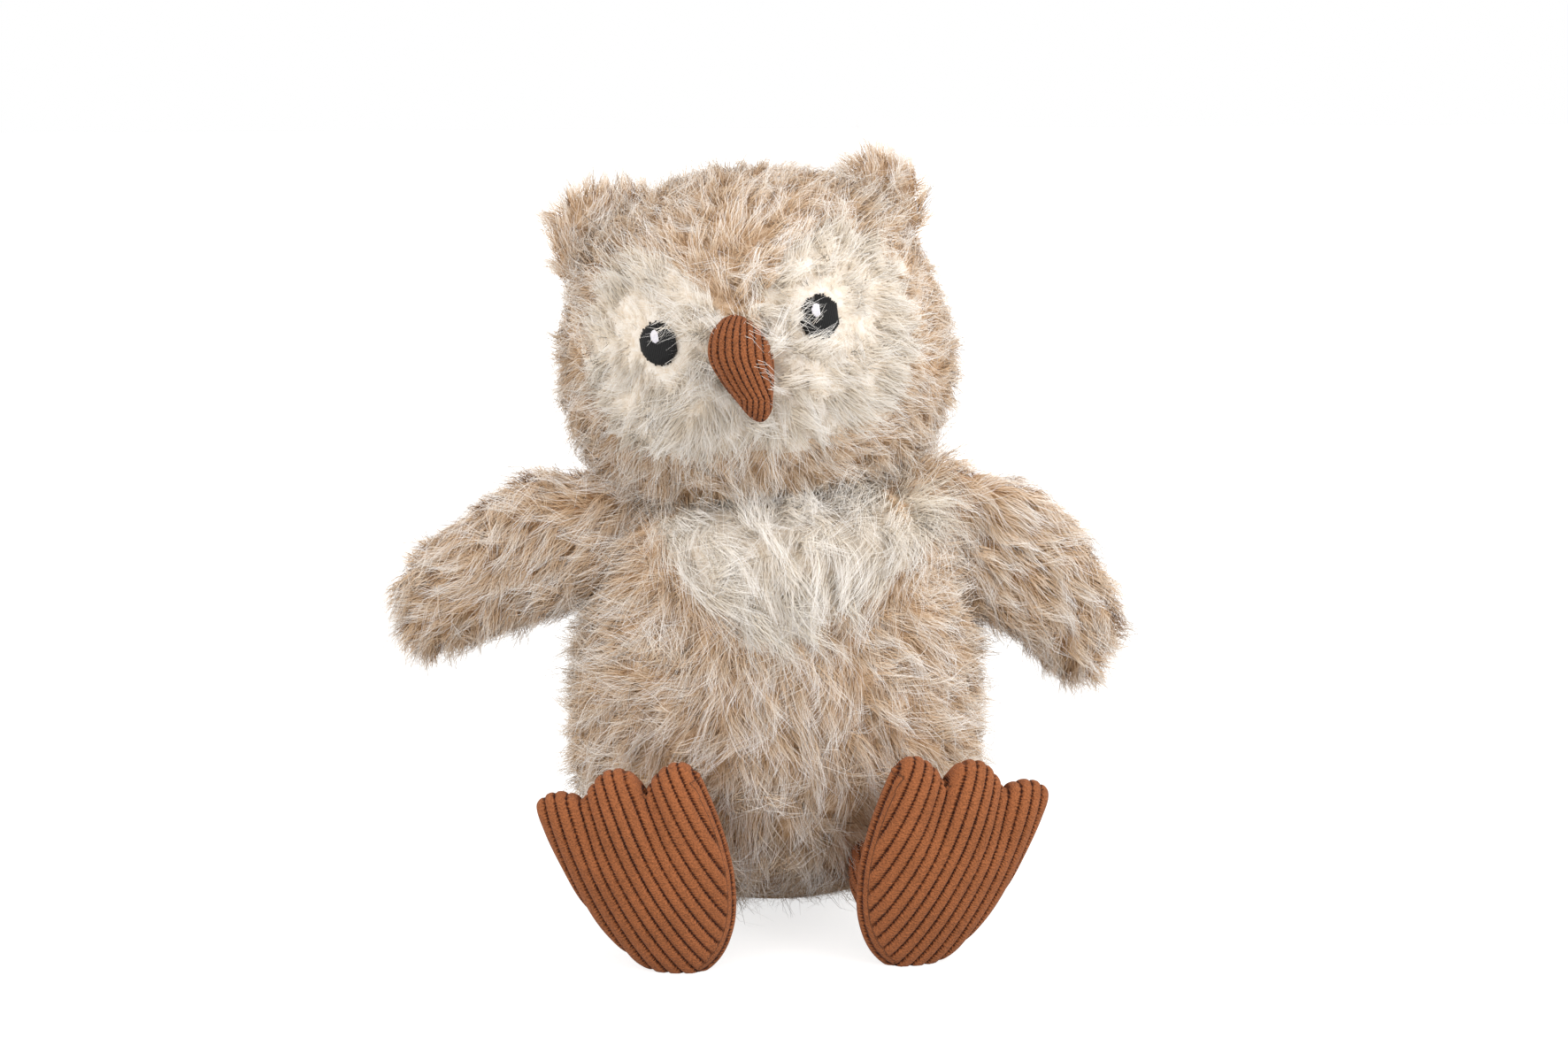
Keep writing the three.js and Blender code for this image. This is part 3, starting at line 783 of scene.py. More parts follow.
    @staticmethod
    def _strip() -> list[tuple]:
        """Rows for the strip's breadth, its light, its map and the floor under it."""
        return [
            ("square", "V_CROSS_PRODUCT", "@lean", "@nap"),
            ("twist", "V_SCALE", "@whim", 0.4),
            ("side", "V_ADD", "@square", "@twist"),
            ("flank", "V_NORMALIZE", "@side"),
            ("thin", "POWER", "@along", 2.0),
            ("taper", "MULTIPLY_ADD", "@thin", -0.75, 1.0),
            ("share", "MULTIPLY", "@taper", "@across"),
            ("breadth", "MULTIPLY", "@share", "@in:Width"),
            ("aside", "V_SCALE", "@flank", "@breadth"),
            ("grown spot", "V_ADD", "@spine", "@aside"),
            # Hair that reaches the ground spreads on it
            ("ground", "V_MAXIMUM", "@grown spot", (-9.0, -9.0, 0.0002)),
            ("placed", "PLACE", "@laid", "@ground"),
            # Fine fibres share the light of the cloth they stand on
            ("lock tilt", "V_SCALE", "@lock_turn", 0.28),
            ("own tilt", "V_SCALE", "@whim", 0.12),
            ("lean tilt", "V_SCALE", "@lean", 0.25),
            ("soft 1", "V_ADD", "@nap", "@lock tilt"),
            ("soft 2", "V_ADD", "@soft 1", "@own tilt"),
            ("soft 3", "V_ADD", "@soft 2", "@lean tilt"),
            ("soft", "V_NORMALIZE", "@soft 3"),
            ("lit", "LIGHT", "@placed", "@soft"),
            # Tone of the dye and place from root to tip, kept as a map
            ("lock tone", "V_LENGTH", "@lock_turn"),
            ("shared tone", "MULTIPLY", "@lock tone:Value", 0.16),
            ("mixed tone", "MULTIPLY_ADD", "@chance", 0.55, "@shared tone"),
            ("dyed", "RANGE", "@mixed tone", 0.0, 1.0, "@in:Tone Low", "@in:Tone High"),
            ("bleached", "SMOOTH_RANGE", "@along", 0.1, 0.55, "@in:Tone Root", "@dyed"),
            ("tone", "MULTIPLY_ADD", "@across", 0.02, "@bleached"),
            ("fibre place", "MULTIPLY_ADD", "@along", 0.94, 0.03),
            ("swatch", "JOIN", "@tone", "@fibre place"),
            ("keep bake", "KEEP_MAP", "@lit", "OFBake", "@swatch"),
            ("keep pile", "KEEP_MAP", "@keep bake", "Pile", "@swatch"),
            ("smooth", "SMOOTH", "@keep pile"),
            ("real", "REALIZE", "@smooth"),
            ("covered", "COVER", "@real", "@in:Cloth"),
            ("out", "NodeGroupOutput", "@covered"),
        ]


@dataclass
class Skin:
    """A patch of cloth with the way its pile is combed, in the toy's millimetres."""

    form: Form
    comb: Array
    length: Array
    lift: Array
    unruly: Array
    hug: Array

    def tips(self, place: Place = Place()) -> Array:
        """Where the pile of each face comes to rest, as local points of a place."""
        middles = face_centres(self.form)
        first = np.array([face[0] for face in self.form.faces])
        ahead = unit(self.comb[first]) * (0.55 * self.length[first])[:, None]
        return place.local(middles + ahead)

    def only(self, kept: Array) -> "Skin":
        """The patch cut down to the faces that are kept."""
        faces = [face for face, keep in zip(self.form.faces, kept) if keep]
        used = np.unique(np.concatenate([np.array(f) for f in faces]))
        number = np.full(len(self.form.points), -1)
        number[used] = np.arange(len(used))
        cut = Form(self.form.points[used], [tuple(int(number[i]) for i in face) for face in faces])
        return Skin(cut, *(row[used] for row in (self.comb, self.length, self.lift, self.unruly, self.hug)))


@dataclass
class Coat:
    """The pile of one panel: thousands of strands rooted in its ground cloth."""

    name: str
    body: str
    cloth: Cloth
    skin: Skin
    stands_for: tuple[str, ...]
    seed: int
    fullness: float = 1.0
    kinds: tuple[Strands, ...] = (UNDERCOAT, GUARD_HAIRS)

    def build(self, piles: PileTree, materials: dict[Cloth, bpy.types.Material]) -> None:
        """Plant each kind of strand and hand the pieces to the frame.

        Args:
            piles: Tree that plants them.
            materials: Pile material for each cloth.
        """
        mesh = self.skin.form.mesh(self.name + "_skin")
        for key, values, kind, path in (
            ("comb", unit(self.skin.comb), "FLOAT_VECTOR", "vector"),
            ("pile_length", self.skin.length * MM, "FLOAT", "value"),
            ("lift", self.skin.lift, "FLOAT", "value"),
            ("unruly", self.skin.unruly, "FLOAT", "value"),
            ("hug", self.skin.hug / MM, "FLOAT", "value"),
        ):
            layer = mesh.attributes.new(key, kind, "POINT")
            layer.data.foreach_set(path, np.asarray(values, np.float32).ravel())
        for turn_number, strands in enumerate(self.kinds):
            piece = self.plant(mesh, strands, piles, materials[self.cloth], self.seed + 100 * turn_number)
            hand_in(piece, self.body, self.stands_for if turn_number == 0 else ())
        bpy.data.meshes.remove(mesh)

    def plant(self, mesh: bpy.types.Mesh, strands: Strands, piles: PileTree,
              material: bpy.types.Material, seed: int) -> bpy.types.Object:
        """Plant one kind of strand on the skin.

        Args:
            mesh: The skin with its combing.
            strands: The kind of strand.
            piles: Tree that plants it.
            material: The pile's material.
            seed: Seed of its scatter.

        Returns:
            The strands as one plain piece.
        """
        tone_low, tone_high = strands.tones
        return piles.grow(f"{self.name}_{strands.kind}", mesh, {
            "Density": strands.density * self.fullness * SQUARE_CM_IN_A_SQUARE_METRE,
            "Lock Spacing": strands.lock_spacing * MM, "Width": strands.width * MM,
            "Length": strands.length, "Lift": strands.lift, "Clumping": strands.clumping,
            "Unruly": strands.unruly, "Stray": strands.stray, "Crimp": strands.crimp * 3 * MM,
            "Curl": strands.curl * MM, "Frizz": strands.frizz, "Rows": strands.rows,
            "Tone Root": strands.root_tone, "Tone Low": tone_low, "Tone High": tone_high,
            "Seed": seed, "Lock Seed": self.seed, "Cloth": material,
        })


# Attributes that only the trees read, taken off the grown pieces
SCRATCH_LAYERS = {"root", "nap", "comb", "lock_root", "lock_turn", "whim", "chance", "across",
                  "along", "pile_length", "lift", "unruly", "hug"}


# ---- The owl's parts ----

SIDES = (("left", 1), ("right", -1))


def constant(points: Array, value: float) -> Array:
    """The same number for every point."""
    return np.full(len(points), float(value))


def blend_forms(low: Form, high: Form, raised: Array) -> Array:
    """Points of a form, raised to those of a fuller twin form, with a soft step.

    Args:
        low: The form.
        high: The same form, grown more.
        raised: Whether each point is raised.

    Returns:
        The blended points.
    """
    share = raised.astype(float)
    edges = np.array([(face[k], face[k - 1]) for face in low.faces for k in range(len(face))])
    count = np.bincount(edges[:, 0], minlength=len(share))
    for _ in range(2):
        share = np.bincount(edges[:, 0], share[edges[:, 1]], len(share)) / np.maximum(count, 1)
    return low.points + (high.points - low.points) * share[:, None]


def face_centres(form: Form) -> Array:
    """The middle of each face of a form."""
    return np.array([form.points[list(face)].mean(0) for face in form.faces])


class Workshop:
    """Materials and trees that every part shares."""

    def __init__(self) -> None:
        """Make the shared materials and the pile's tree."""
        self.piles = PileTree()
        self.pile = {Cloth.TAN: TAN_FINISH.material(), Cloth.CREAM: CREAM_FINISH.material()}
        self.ground = {
            Cloth.TAN: MatFinish("matted_tan_undercoat", "#b8946f", "#e2c8ab").material(),
            Cloth.CREAM: MatFinish("matted_cream_undercoat", "#e3d3be", "#f8f1e7").material(),
        }
        self.corduroy = CorduroyFinish().material()
        self.fine_corduroy = CorduroyFinish("rust_fine_corduroy", tuft=0.9, depth=1.6).material()
        self.stitches = StitchTree()
        self.black = ThreadFinish("black_satin_thread", "#070707", "#121213").material()
        self.white = ThreadFinish("white_satin_thread", "#dfdde8", "#fbfaff").material()

    def piece(self, name: str, form: Form, materials: list[bpy.types.Material]) -> bpy.types.Object:
        """Put a form into the scene as one object.

        Args:
            name: Name of the piece.
            form: Its shape in the toy's millimetres.
            materials: Its materials.

        Returns:
            The new object.
        """
        made = put(name, form.mesh(name))
        for material in materials:
            made.data.materials.append(material)
        return made

    def two_layers(self, kind: str, side_name: str, body: str, skin: Skin, place: Place, seed: int) -> None:
        """Plant the front and the back layer of a flat part of tan pile.

        Args:
            kind: What the part is, "ear" or "wing".
            side_name: The owl's side that it is on.
            body: Body that it rides on.
            skin: Skin of both layers.
            place: Where the part stands.
            seed: Seed of the front layer's scatter.
        """
        depth = place.local(face_centres(skin.form))[:, 1]
        for part_seed, layer, part in ((seed, "front", depth < 0), (seed + 2, "back", depth >= 0)):
            name = f"{kind}_{layer}_{side_name}"
            Coat(name, body, Cloth.TAN, skin.only(part), (name,), part_seed).build(self.piles, self.pile)


@dataclass(frozen=True)
class MatFinish:
    """The densest undercoat, matted down on the padding: woolly tufts of crimped fibre.

    It gives the eye soft shade between the locks, with 2.4 mm tufts, nearly as wide as the
    2.5 mm locks above them, and 0.4 mm fibres inside the tufts.
    """

    name: str
    deep: str
    full: str
    tuft: float = 2.4
    fibre: float = 0.4

    def material(self) -> bpy.types.Material:
        """Build the node material."""
        return make_material(self.name, [
            ("place", "SPACE"),
            ("tufts", "NOISE", "@place:Object", 1 / (self.tuft * MM), 1.5, 0.6),
            ("fibres", "NOISE", "@place:Object", 1 / (self.fibre * MM), 2.0, 1.2),
            ("wool", "MULTIPLY_ADD", "@fibres", 0.55, "@tufts"),
            ("fullness", "RANGE", "@wool", 0.55, 1.0),
            ("dye", "RAMP", "@fullness"),
            ("relief", "BUMP", 0.7, 0.5 * MM, "@wool"),
        ], {"dye": ((0.0, self.deep), (0.8, self.full))},
            {"Base Color": "@dye", "Normal": "@relief", "Roughness": 0.95, "Specular IOR Level": 0.2})


@dataclass(frozen=True)
class CorduroyFinish:
    """Cut-rib cotton corduroy dyed rust brown: matt velvety ribs with dark grooves.

    The ribs are real relief in the mesh, whose "cord" attribute holds the place across in
    ribs and along in millimetres. The eye gets narrow jagged grooves, whose dark colour is
    partly the bare backing cloth and partly painted shade. It also gets slanting tufts 0.75 mm
    apart along each rib, each lighter in its middle and darker at its ends by painted shade,
    and a velvet sheen at grazing angles.
    """

    name: str = "rust_corduroy"
    groove: str = "#3d1a0d"
    flank: str = "#7a4424"
    crest: str = "#9c5f3b"
    tuft: float = 0.75
    grain: float = 0.42
    depth: float = 1.0

    def material(self) -> bpy.types.Material:
        """Build the node material."""
        return make_material(self.name, [
            ("place", "SPACE"),
            ("cord", "CORD"),
            ("parts", "SPLIT", "@cord:Vector"),
            ("share", "FRACT", "@parts:X"),
            ("off crest", "SUBTRACT", "@share", 0.5),
            ("edge", "ABSOLUTE", "@off crest"),
            # Tufts slant down from the crest to both grooves and leave the edge toothed
            ("breadth", "MULTIPLY", "@parts:X", 1.3),
            ("length", "DIVIDE", "@parts:Y", 2 * self.tuft),
            ("uneven spot", "JOIN", "@breadth", "@length"),
            ("uneven", "NOISE", "@uneven spot", 1.0, 2.0),
            ("count", "DIVIDE", "@parts:Y", self.tuft),
            ("slant", "MULTIPLY_ADD", "@edge", 1.6, "@count"),
            ("shifted", "MULTIPLY_ADD", "@uneven", 3.2, "@slant"),
            ("phase", "FRACT", "@shifted"),
            ("off tuft", "SUBTRACT", "@phase", 0.5),
            ("tufts", "ABSOLUTE", "@off tuft"),
            ("fibres", "NOISE", "@place:Object", 1 / (self.grain * MM), 2.0),
            ("teeth", "MULTIPLY_ADD", "@tufts", 0.26, "@edge"),
            ("ragged", "RANGE", "@teeth", 0.4, 0.56, 1.0, 0.0),
            # Groove to crest: the dark groove colour is partly the bare backing cloth and partly painted
            # shade in the groove
            ("dye", "RAMP", "@ragged"),
            # Painted shade: each tuft is lighter in its middle and darker where it meets the next
            ("mottle", "RANGE", "@tufts", 0.1, 0.5, 1 + 0.06 * self.depth, 1 - 0.1 * self.depth),
            ("speckle", "RANGE", "@fibres", 0.3, 0.7, 0.74, 1.26),
            ("wear noise", "NOISE", "@place:Object", 1 / (9 * MM), 2.0),
            ("wear", "RANGE", "@wear noise", 0.3, 0.7, 0.93, 1.07),
            ("tint 1", "MULTIPLY", "@mottle", "@speckle"),
            ("tint", "MULTIPLY", "@tint 1", "@wear"),
            ("colour", "V_SCALE", "@dye", "@tint"),
            ("grains", "MULTIPLY", "@fibres", 2.4),
            ("nap", "MULTIPLY_ADD", "@tufts", -0.9, "@grains"),
            ("pile", "ADD", "@nap", "@ragged"),
            ("relief", "BUMP", 0.9, 0.25 * self.depth * MM, "@pile"),
        ], {"dye": ((0.0, self.groove), (0.5, self.flank), (0.95, self.crest))},
            {"Base Color": "@colour", "Normal": "@relief", "Roughness": 0.92, "Sheen Weight": 0.06,
             "Sheen Roughness": 0.5, "Specular IOR Level": 0.12})


@dataclass(frozen=True)
class ThreadFinish:
    """Rayon embroidery thread: satin, spun from fine filaments.

    The stitches themselves are mesh. The material gives the eye a dull gloss, broken up by
    the twist of 0.2 mm plies.
    """

    name: str
    deep: str
    lit: str
    ply: float = 0.2

    def material(self) -> bpy.types.Material:
        """Build the node material."""
        return make_material(self.name, [
            ("place", "SPACE"),
            ("plies", "NOISE", "@place:Object", 1 / (self.ply * MM), 2.0),
            ("dye", "RAMP", "@plies"),
            ("relief", "BUMP", 0.5, 0.08 * MM, "@plies"),
        ], {"dye": ((0.35, self.deep), (0.7, self.lit))},
            {"Base Color": "@dye", "Normal": "@relief", "Roughness": 0.55, "Specular IOR Level": 0.3})


# How far a stitch may end from the oval's edge, as a share of its height
RAGGEDNESS = 0.07


class StitchTree(Growth):
    """Geometry Nodes tree that lays satin stitches side by side in an upright oval."""

    def __init__(self) -> None:
        """Build the tree once, for every eye and glint."""
        super().__init__("SatinStitches", {
            "Any Mesh": "Geometry", "Width": "Float", "Height": "Float", "Thread": "Float",
            "Raggedness": "Float", "Seed": "Int", "Yarn": "Material",
        }, [
            ("index", "GeometryNodeInputIndex"),
            ("count", "DIVIDE", "@in:Width", "@in:Thread"),
            ("row", "LINE", "@count"),
            ("nth", "ADD", "@index", 0.5),
            ("share", "DIVIDE", "@nth", "@count"),
            ("column", "MULTIPLY_ADD", "@share", 2.0, -1.0),
            ("luck", "RANDOM", -1.0, 1.0, "@in:Seed"),
            ("keep column", "KEEP", "@row", "column", "@column"),
            ("keep luck", "KEEP", "@keep column", "luck", "@luck:1"),
            ("stitch", "LINE", 17),
            ("climb", "MULTIPLY_ADD", "@index", 0.125, -1.0),
            ("keep climb", "KEEP", "@stitch", "climb", "@climb"),
            ("copies", "COPIES", "@keep luck", "@keep climb"),
            ("lines", "REALIZE", "@copies"),
            ("at", "READ", "column"),
            ("up", "READ", "climb"),
            ("odds", "READ", "luck"),
            # Each stitch is as long as the oval is high there, give or take
            ("at squared", "MULTIPLY", "@at", "@at"),
            ("left over", "SUBTRACT", 1.0, "@at squared"),
            ("chord", "SQRT", "@left over"),
            ("uneven", "MULTIPLY", "@odds", "@in:Raggedness"),
            ("reach", "ADD", "@chord", "@uneven"),
            ("rise", "MULTIPLY", "@up", "@reach"),
            ("z", "MULTIPLY", "@rise", "@in:Height"),
            ("x", "MULTIPLY", "@at", "@in:Width"),
            ("spot", "JOIN", {"X": "@x", "Z": "@z"}),
            ("half spot", "V_SCALE", "@spot", 0.5),
            ("laid", "PLACE", "@lines", "@half spot"),
            ("curves", "GeometryNodeMeshToCurve", "@laid"),
            ("thickness", "MULTIPLY", "@in:Thread", 0.62),
            ("round", "GeometryNodeCurvePrimitiveCircle", {"Resolution": 6, "Radius": "@thickness"}),
            ("threads", "GeometryNodeCurveToMesh",
             {"Curve": "@curves", "Profile Curve": "@round", "Fill Caps": True}),
            ("smooth", "SMOOTH", "@threads"),
            ("real", "REALIZE", "@smooth"),
            ("dyed", "COVER", "@real", "@in:Yarn"),
            ("out", "NodeGroupOutput", "@dyed"),
        ])

    def lay(self, name: str, width: float, height: float, thread: float, seed: int,
            yarn: bpy.types.Material) -> bpy.types.Object:
        """Lay the stitches of one oval in the XZ plane.

        Args:
            name: Name of the piece.
            width: Width of the oval in millimetres.
            height: Height of the oval in millimetres.
            thread: Distance between stitches in millimetres.
            seed: Seed of their uneven ends.
            yarn: Material of the thread.

        Returns:
            The stitches as one plain piece.
        """
        return self.grow(name, bpy.data.meshes.new(name + "_cloth"), {
            "Width": width * MM, "Height": height * MM, "Thread": thread * MM, "Raggedness": RAGGEDNESS,
            "Seed": seed, "Yarn": yarn,
        })


@dataclass
class Torso:
    """The stuffed body: belly, bib, seat and back panels over one swelling form."""

    shape: Swelling = Swelling(
        103.0, 84.0, 111.0,
        ((0, 0.36), (0.012, 0.46), (0.04, 0.61), (0.09, 0.77), (0.16, 0.89), (0.26, 0.97),
         (0.37, 1), (0.53, 0.99), (0.67, 0.945), (0.8, 0.85), (0.89, 0.7), (0.95, 0.51),
         (0.985, 0.28), (1, 0)),
        (0.66, 0.96),
    )
    seat_height: float = 15.0
    side_seam: float = 2.0
    bib_width: float = 61.0
    bib_drop: float = 23.5
    bib_top: float = 98.5
    bib_shares: Shares = (
        (-0.5, 0), (-0.47, -0.25), (-0.33, -0.6), (-0.2, -0.86), (-0.08, -1.0),
        (-0.02, -0.92), (0.08, -0.74), (0.26, -0.5), (0.45, -0.22), (0.5, 0),
    )
    root_depth: float = 3.6
    core_depth: float = 2.7
    bib_core_depth: float = 1.9
    pile_length: float = 11.0
    core_mesh: tuple[int, int] = (120, 80)
    skin_mesh: tuple[int, int] = (150, 90)
    hidden_above: float = 106.0

    def bib_outline(self) -> Array:
        """The bib's edge in XZ, as far as its hair hangs, run up past the neck."""
        low = np.array(self.bib_shares) * (self.bib_width + 4, self.bib_drop + 7) + (3.0, self.bib_top)
        high = self.shape.height + 20
        return np.vstack([low, [[self.bib_width / 2 - 4, self.bib_top + 1], [12, high], [-12, high],
                                [6 - self.bib_width / 2, self.bib_top + 2]]])

    @staticmethod
    def shouldered(form: Form) -> Form:
        """The body with one shoulder raised to meet the head, which tips away from it."""
        x, _, z = form.points.T
        form.points[:, 2] += 6.5 * smoothstep(x, 12, 30) * smoothstep(z, 82, 98)
        return form

    def in_bib(self, points: Array) -> Array:
        """Whether points lie under the bib's hair."""
        return inside_outline(points[:, [0, 2]], self.bib_outline()) & (points[:, 1] < 0)

    def skin(self) -> Skin:
        """The whole body's skin with its combing."""
        form = self.shouldered(self.shape.form(-self.root_depth, *self.skin_mesh))
        points = form.points
        x, y, z = points.T
        angle = np.arctan2(x, -y)
        sideways = np.stack([np.cos(angle), np.sin(angle), np.zeros(len(x))], 1) * np.sign(x)[:, None]
        share = smoothstep(np.abs(angle), 0.1, 1.1) * (1 - 0.5 * smoothstep(np.abs(angle), 1.7, 3.0))
        comb = sideways * (0.95 * share)[:, None]
        comb[:, 2] -= 0.75 - 0.3 * share
        in_bib = self.in_bib(points)
        towards_point = np.stack([-0.03 * (x + 2), np.zeros(len(x)), -np.ones(len(x))], 1)
        comb[in_bib] = towards_point[in_bib]
        low = z < self.seat_height
        comb[low] += np.stack([x, y, 0 * z], 1)[low] / 40
        length = self.pile_length - 5.5 * smoothstep(self.seat_height - z, 0, 12)
        lift = 0.52 - 0.3 * smoothstep(self.seat_height - z, 0, 12) + 0.35 * smoothstep(z, 96, 104)
        # The head tips away from one shoulder, where the pile stands up
        shoulder = smoothstep(x, 12, 24) * smoothstep(z, 90, 100)
        lift += 0.25 * shoulder
        length += 3.0 * shoulder
        return Skin(form, comb, length, lift, constant(x, 0.6), constant(x, 0.011))

    def build(self, shop: Workshop) -> None:
        """Build the stuffed core and the five panels' pile."""
        core = self.shouldered(self.shape.form(-self.core_depth, *self.core_mesh))
        full = self.shouldered(self.shape.form(-self.bib_core_depth, *self.core_mesh))
        core.points = blend_forms(core, full, self.in_bib(core.points) | (core.points[:, 2] > 90))
        piece = shop.piece("body_cushion", core, [shop.ground[Cloth.TAN], shop.ground[Cloth.CREAM]])
        bib = self.in_bib(face_centres(core))
        piece.data.polygons.foreach_set("material_index", bib.astype(np.int32))
        hand_in(piece, "torso", ("body_filling",))
        skin = self.skin()
        tips = skin.tips()
        x, y, z = face_centres(skin.form).T
        shown = (z < self.hidden_above + 7 * smoothstep(x, 12, 24)) & (z > 1.5)
        bib = inside_outline(tips[:, [0, 2]], self.bib_outline()) & (tips[:, 1] < 0) & shown
        seat = (z < self.seat_height) & shown
        front = (y < self.side_seam) & ~seat & ~bib & shown
        back = (y >= self.side_seam) & ~seat & shown
        for name, cloth, part, seed in (
            ("belly_panel", Cloth.TAN, front, 1), ("chest_bib", Cloth.CREAM, bib, 2),
            ("seat_panel", Cloth.TAN, seat, 3), ("back_panel_left", Cloth.TAN, back & (x >= 0), 4),
            ("back_panel_right", Cloth.TAN, back & (x < 0), 5),
        ):
            Coat(name.replace("_panel", ""), "torso", cloth, skin.only(part), (name,), seed,
                 FULLNESS.get(name, 0.75)).build(shop.piles, shop.pile)


# How thickly the panels of the body are planted, where their pile is in full view
FULLNESS = {"belly_panel": 1.0, "chest_bib": 1.4, "seat_panel": 0.55}

HEAD_PLACE = Place((0.0, 0.0, 102.0), turn(y=-8.5, z=-7.0))


@dataclass
class Head:
    """The stuffed head: crown gusset, two face discs and two cheeks."""

    shape: Swelling = Swelling(
        97.0, 80.0, 80.5,
        ((0, 0.56), (0.05, 0.76), (0.16, 0.92), (0.29, 0.99), (0.4, 1), (0.56, 0.96),
         (0.7, 0.87), (0.81, 0.74), (0.9, 0.56), (0.965, 0.33), (1, 0)),
    )
    crown_width: float = 44.0
    crown_peak: float = 38.0
    back_seam: float = 4.0
    face_width: float = 38.0
    face_height: float = 47.0
    face_bottom: float = 16.5
    face_shares: Shares = (
        (0, 0.03), (0.26, -0.02), (0.55, 0), (0.83, 0.1), (0.97, 0.32), (1, 0.58),
        (0.9, 0.83), (0.66, 1), (0.42, 0.98), (0.24, 0.86), (0.12, 0.7), (0, 0.55),
    )
    eye_width: float = 9.0
    eye_height: float = 9.9
    eye_spacing: float = 37.4
    eye_up: float = 45.0
    eye_dip: float = 0.8
    eye_aside: float = -0.7
    root_depth: float = 3.3
    core_depth: float = 2.5
    face_core_depth: float = 1.8
    pile_length: float = 8.5
    core_mesh: tuple[int, int] = (130, 80)
    skin_mesh: tuple[int, int] = (160, 90)
    beak_root: tuple[float, float, float] = (0.0, -40.0, 42.0)

    def in_face(self, points: Array) -> Array:
        """Whether local points lie under the pale hair of either face disc."""
        flat = points[:, [0, 2]]
        both = inside_outline(flat, self.face_outline(1)) | inside_outline(flat, self.face_outline(-1))
        return both & (points[:, 1] < 0)

    def face_outline(self, side: int) -> Array:
        """One face disc's edge in local XZ, as far as its hair spreads."""
        spread = 2.5 if side > 0 else 1.0
        line = smooth_outline(self.face_shares, self.face_width + spread, self.face_height + 2.0, 48)
        return np.stack([side * (np.maximum(line[:, 0], 0) + 0.2), line[:, 1] + self.face_bottom - 0.5], 1)

    def skin(self) -> Skin:
        """The head's skin, combed away from the beak and up to the ears."""
        form = self.shape.form(-self.root_depth, *self.skin_mesh)
        points = form.points
        x, y, z = points.T
        comb = points - np.array(self.beak_root)
        comb[:, 1] *= 0.35
        comb = unit(comb)
        brow = smoothstep(z, 44, 60)
        comb += np.stack([np.sign(x) * 0.3, 0 * x, 0.5 + 0 * x], 1) * brow[:, None]
        rear = smoothstep(y, -6, 22)
        downward = np.stack([0.01 * x, 0.2 + 0 * x, -np.ones(len(x))], 1)
        comb = comb * (1 - rear)[:, None] + downward * rear[:, None]
        low = smoothstep(-z, -20, -6)
        comb += np.stack([0.01 * x, 0 * x, -0.5 + 0 * x], 1) * low[:, None]
        comb[:, 2] -= 1.1 * smoothstep(x, 14, 30) * smoothstep(-z, -20, -10)
        high = smoothstep(z, 48, 62) * smoothstep(np.abs(x), 18, 32) * (1 - rear)
        comb += np.stack([np.sign(x) * 0.4, 0 * x, 0.5 + 0 * x], 1) * high[:, None]
        chin = smoothstep(-z, -16, -6)
        length = self.pile_length - 0.5 * chin + 2.5 * smoothstep(x, 18, 30) * chin
        near, fallen = constant(x, FAR_OFF), constant(x, 0.0)
        for side in (1, -1):
            away = np.stack([(x - self.eye_place(side)[0]) / (self.eye_width / 2),
                             (z - self.eye_place(side)[1]) / (self.eye_height / 2)], 1)
            reach = np.where(y < 0, np.linalg.norm(away, axis=1), FAR_OFF)
            near = np.minimum(near, reach)
            pull = (1 - smoothstep(reach, 1.0, 2.4))[:, None]
            # On one side of each eye a tuft of pile falls over its rim
            over = unit(away) @ unit(np.array((-0.85, -0.55) if side > 0 else (0.8, 0.5)))
            parting = 1 - 1.7 * smoothstep(over, 0.82, 0.94)
            comb = comb * (1 - pull) + np.stack([away[:, 0], 0 * x, away[:, 1]], 1) * parting[:, None] * pull
            fallen = np.maximum(fallen, smoothstep(over, 0.8, 0.9) * (1 - smoothstep(reach, 1.3, 2.0)))
        length *= 0.62 + 0.38 * smoothstep(near, 1.0, 2.6)
        lift = (0.55 + 0.35 * high) * (1 + 0.35 * fallen)
        lift *= 1 - 0.15 * smoothstep(x, 30, 38) * smoothstep(z, 36, 46) * (1 - smoothstep(z, 62, 72))
        # Round the beak the pile is tousled, so that some of it crosses the beak's edge
        tousled = np.exp(-((x - 2) / 9) ** 2 - ((z - 41) / 13) ** 2) * (y < 0)
        return Skin(form.moved(HEAD_PLACE), HEAD_PLACE.directions(comb), length, lift + 0.6 * tousled,
                    0.4 + 2.6 * tousled, constant(x, 0.012))

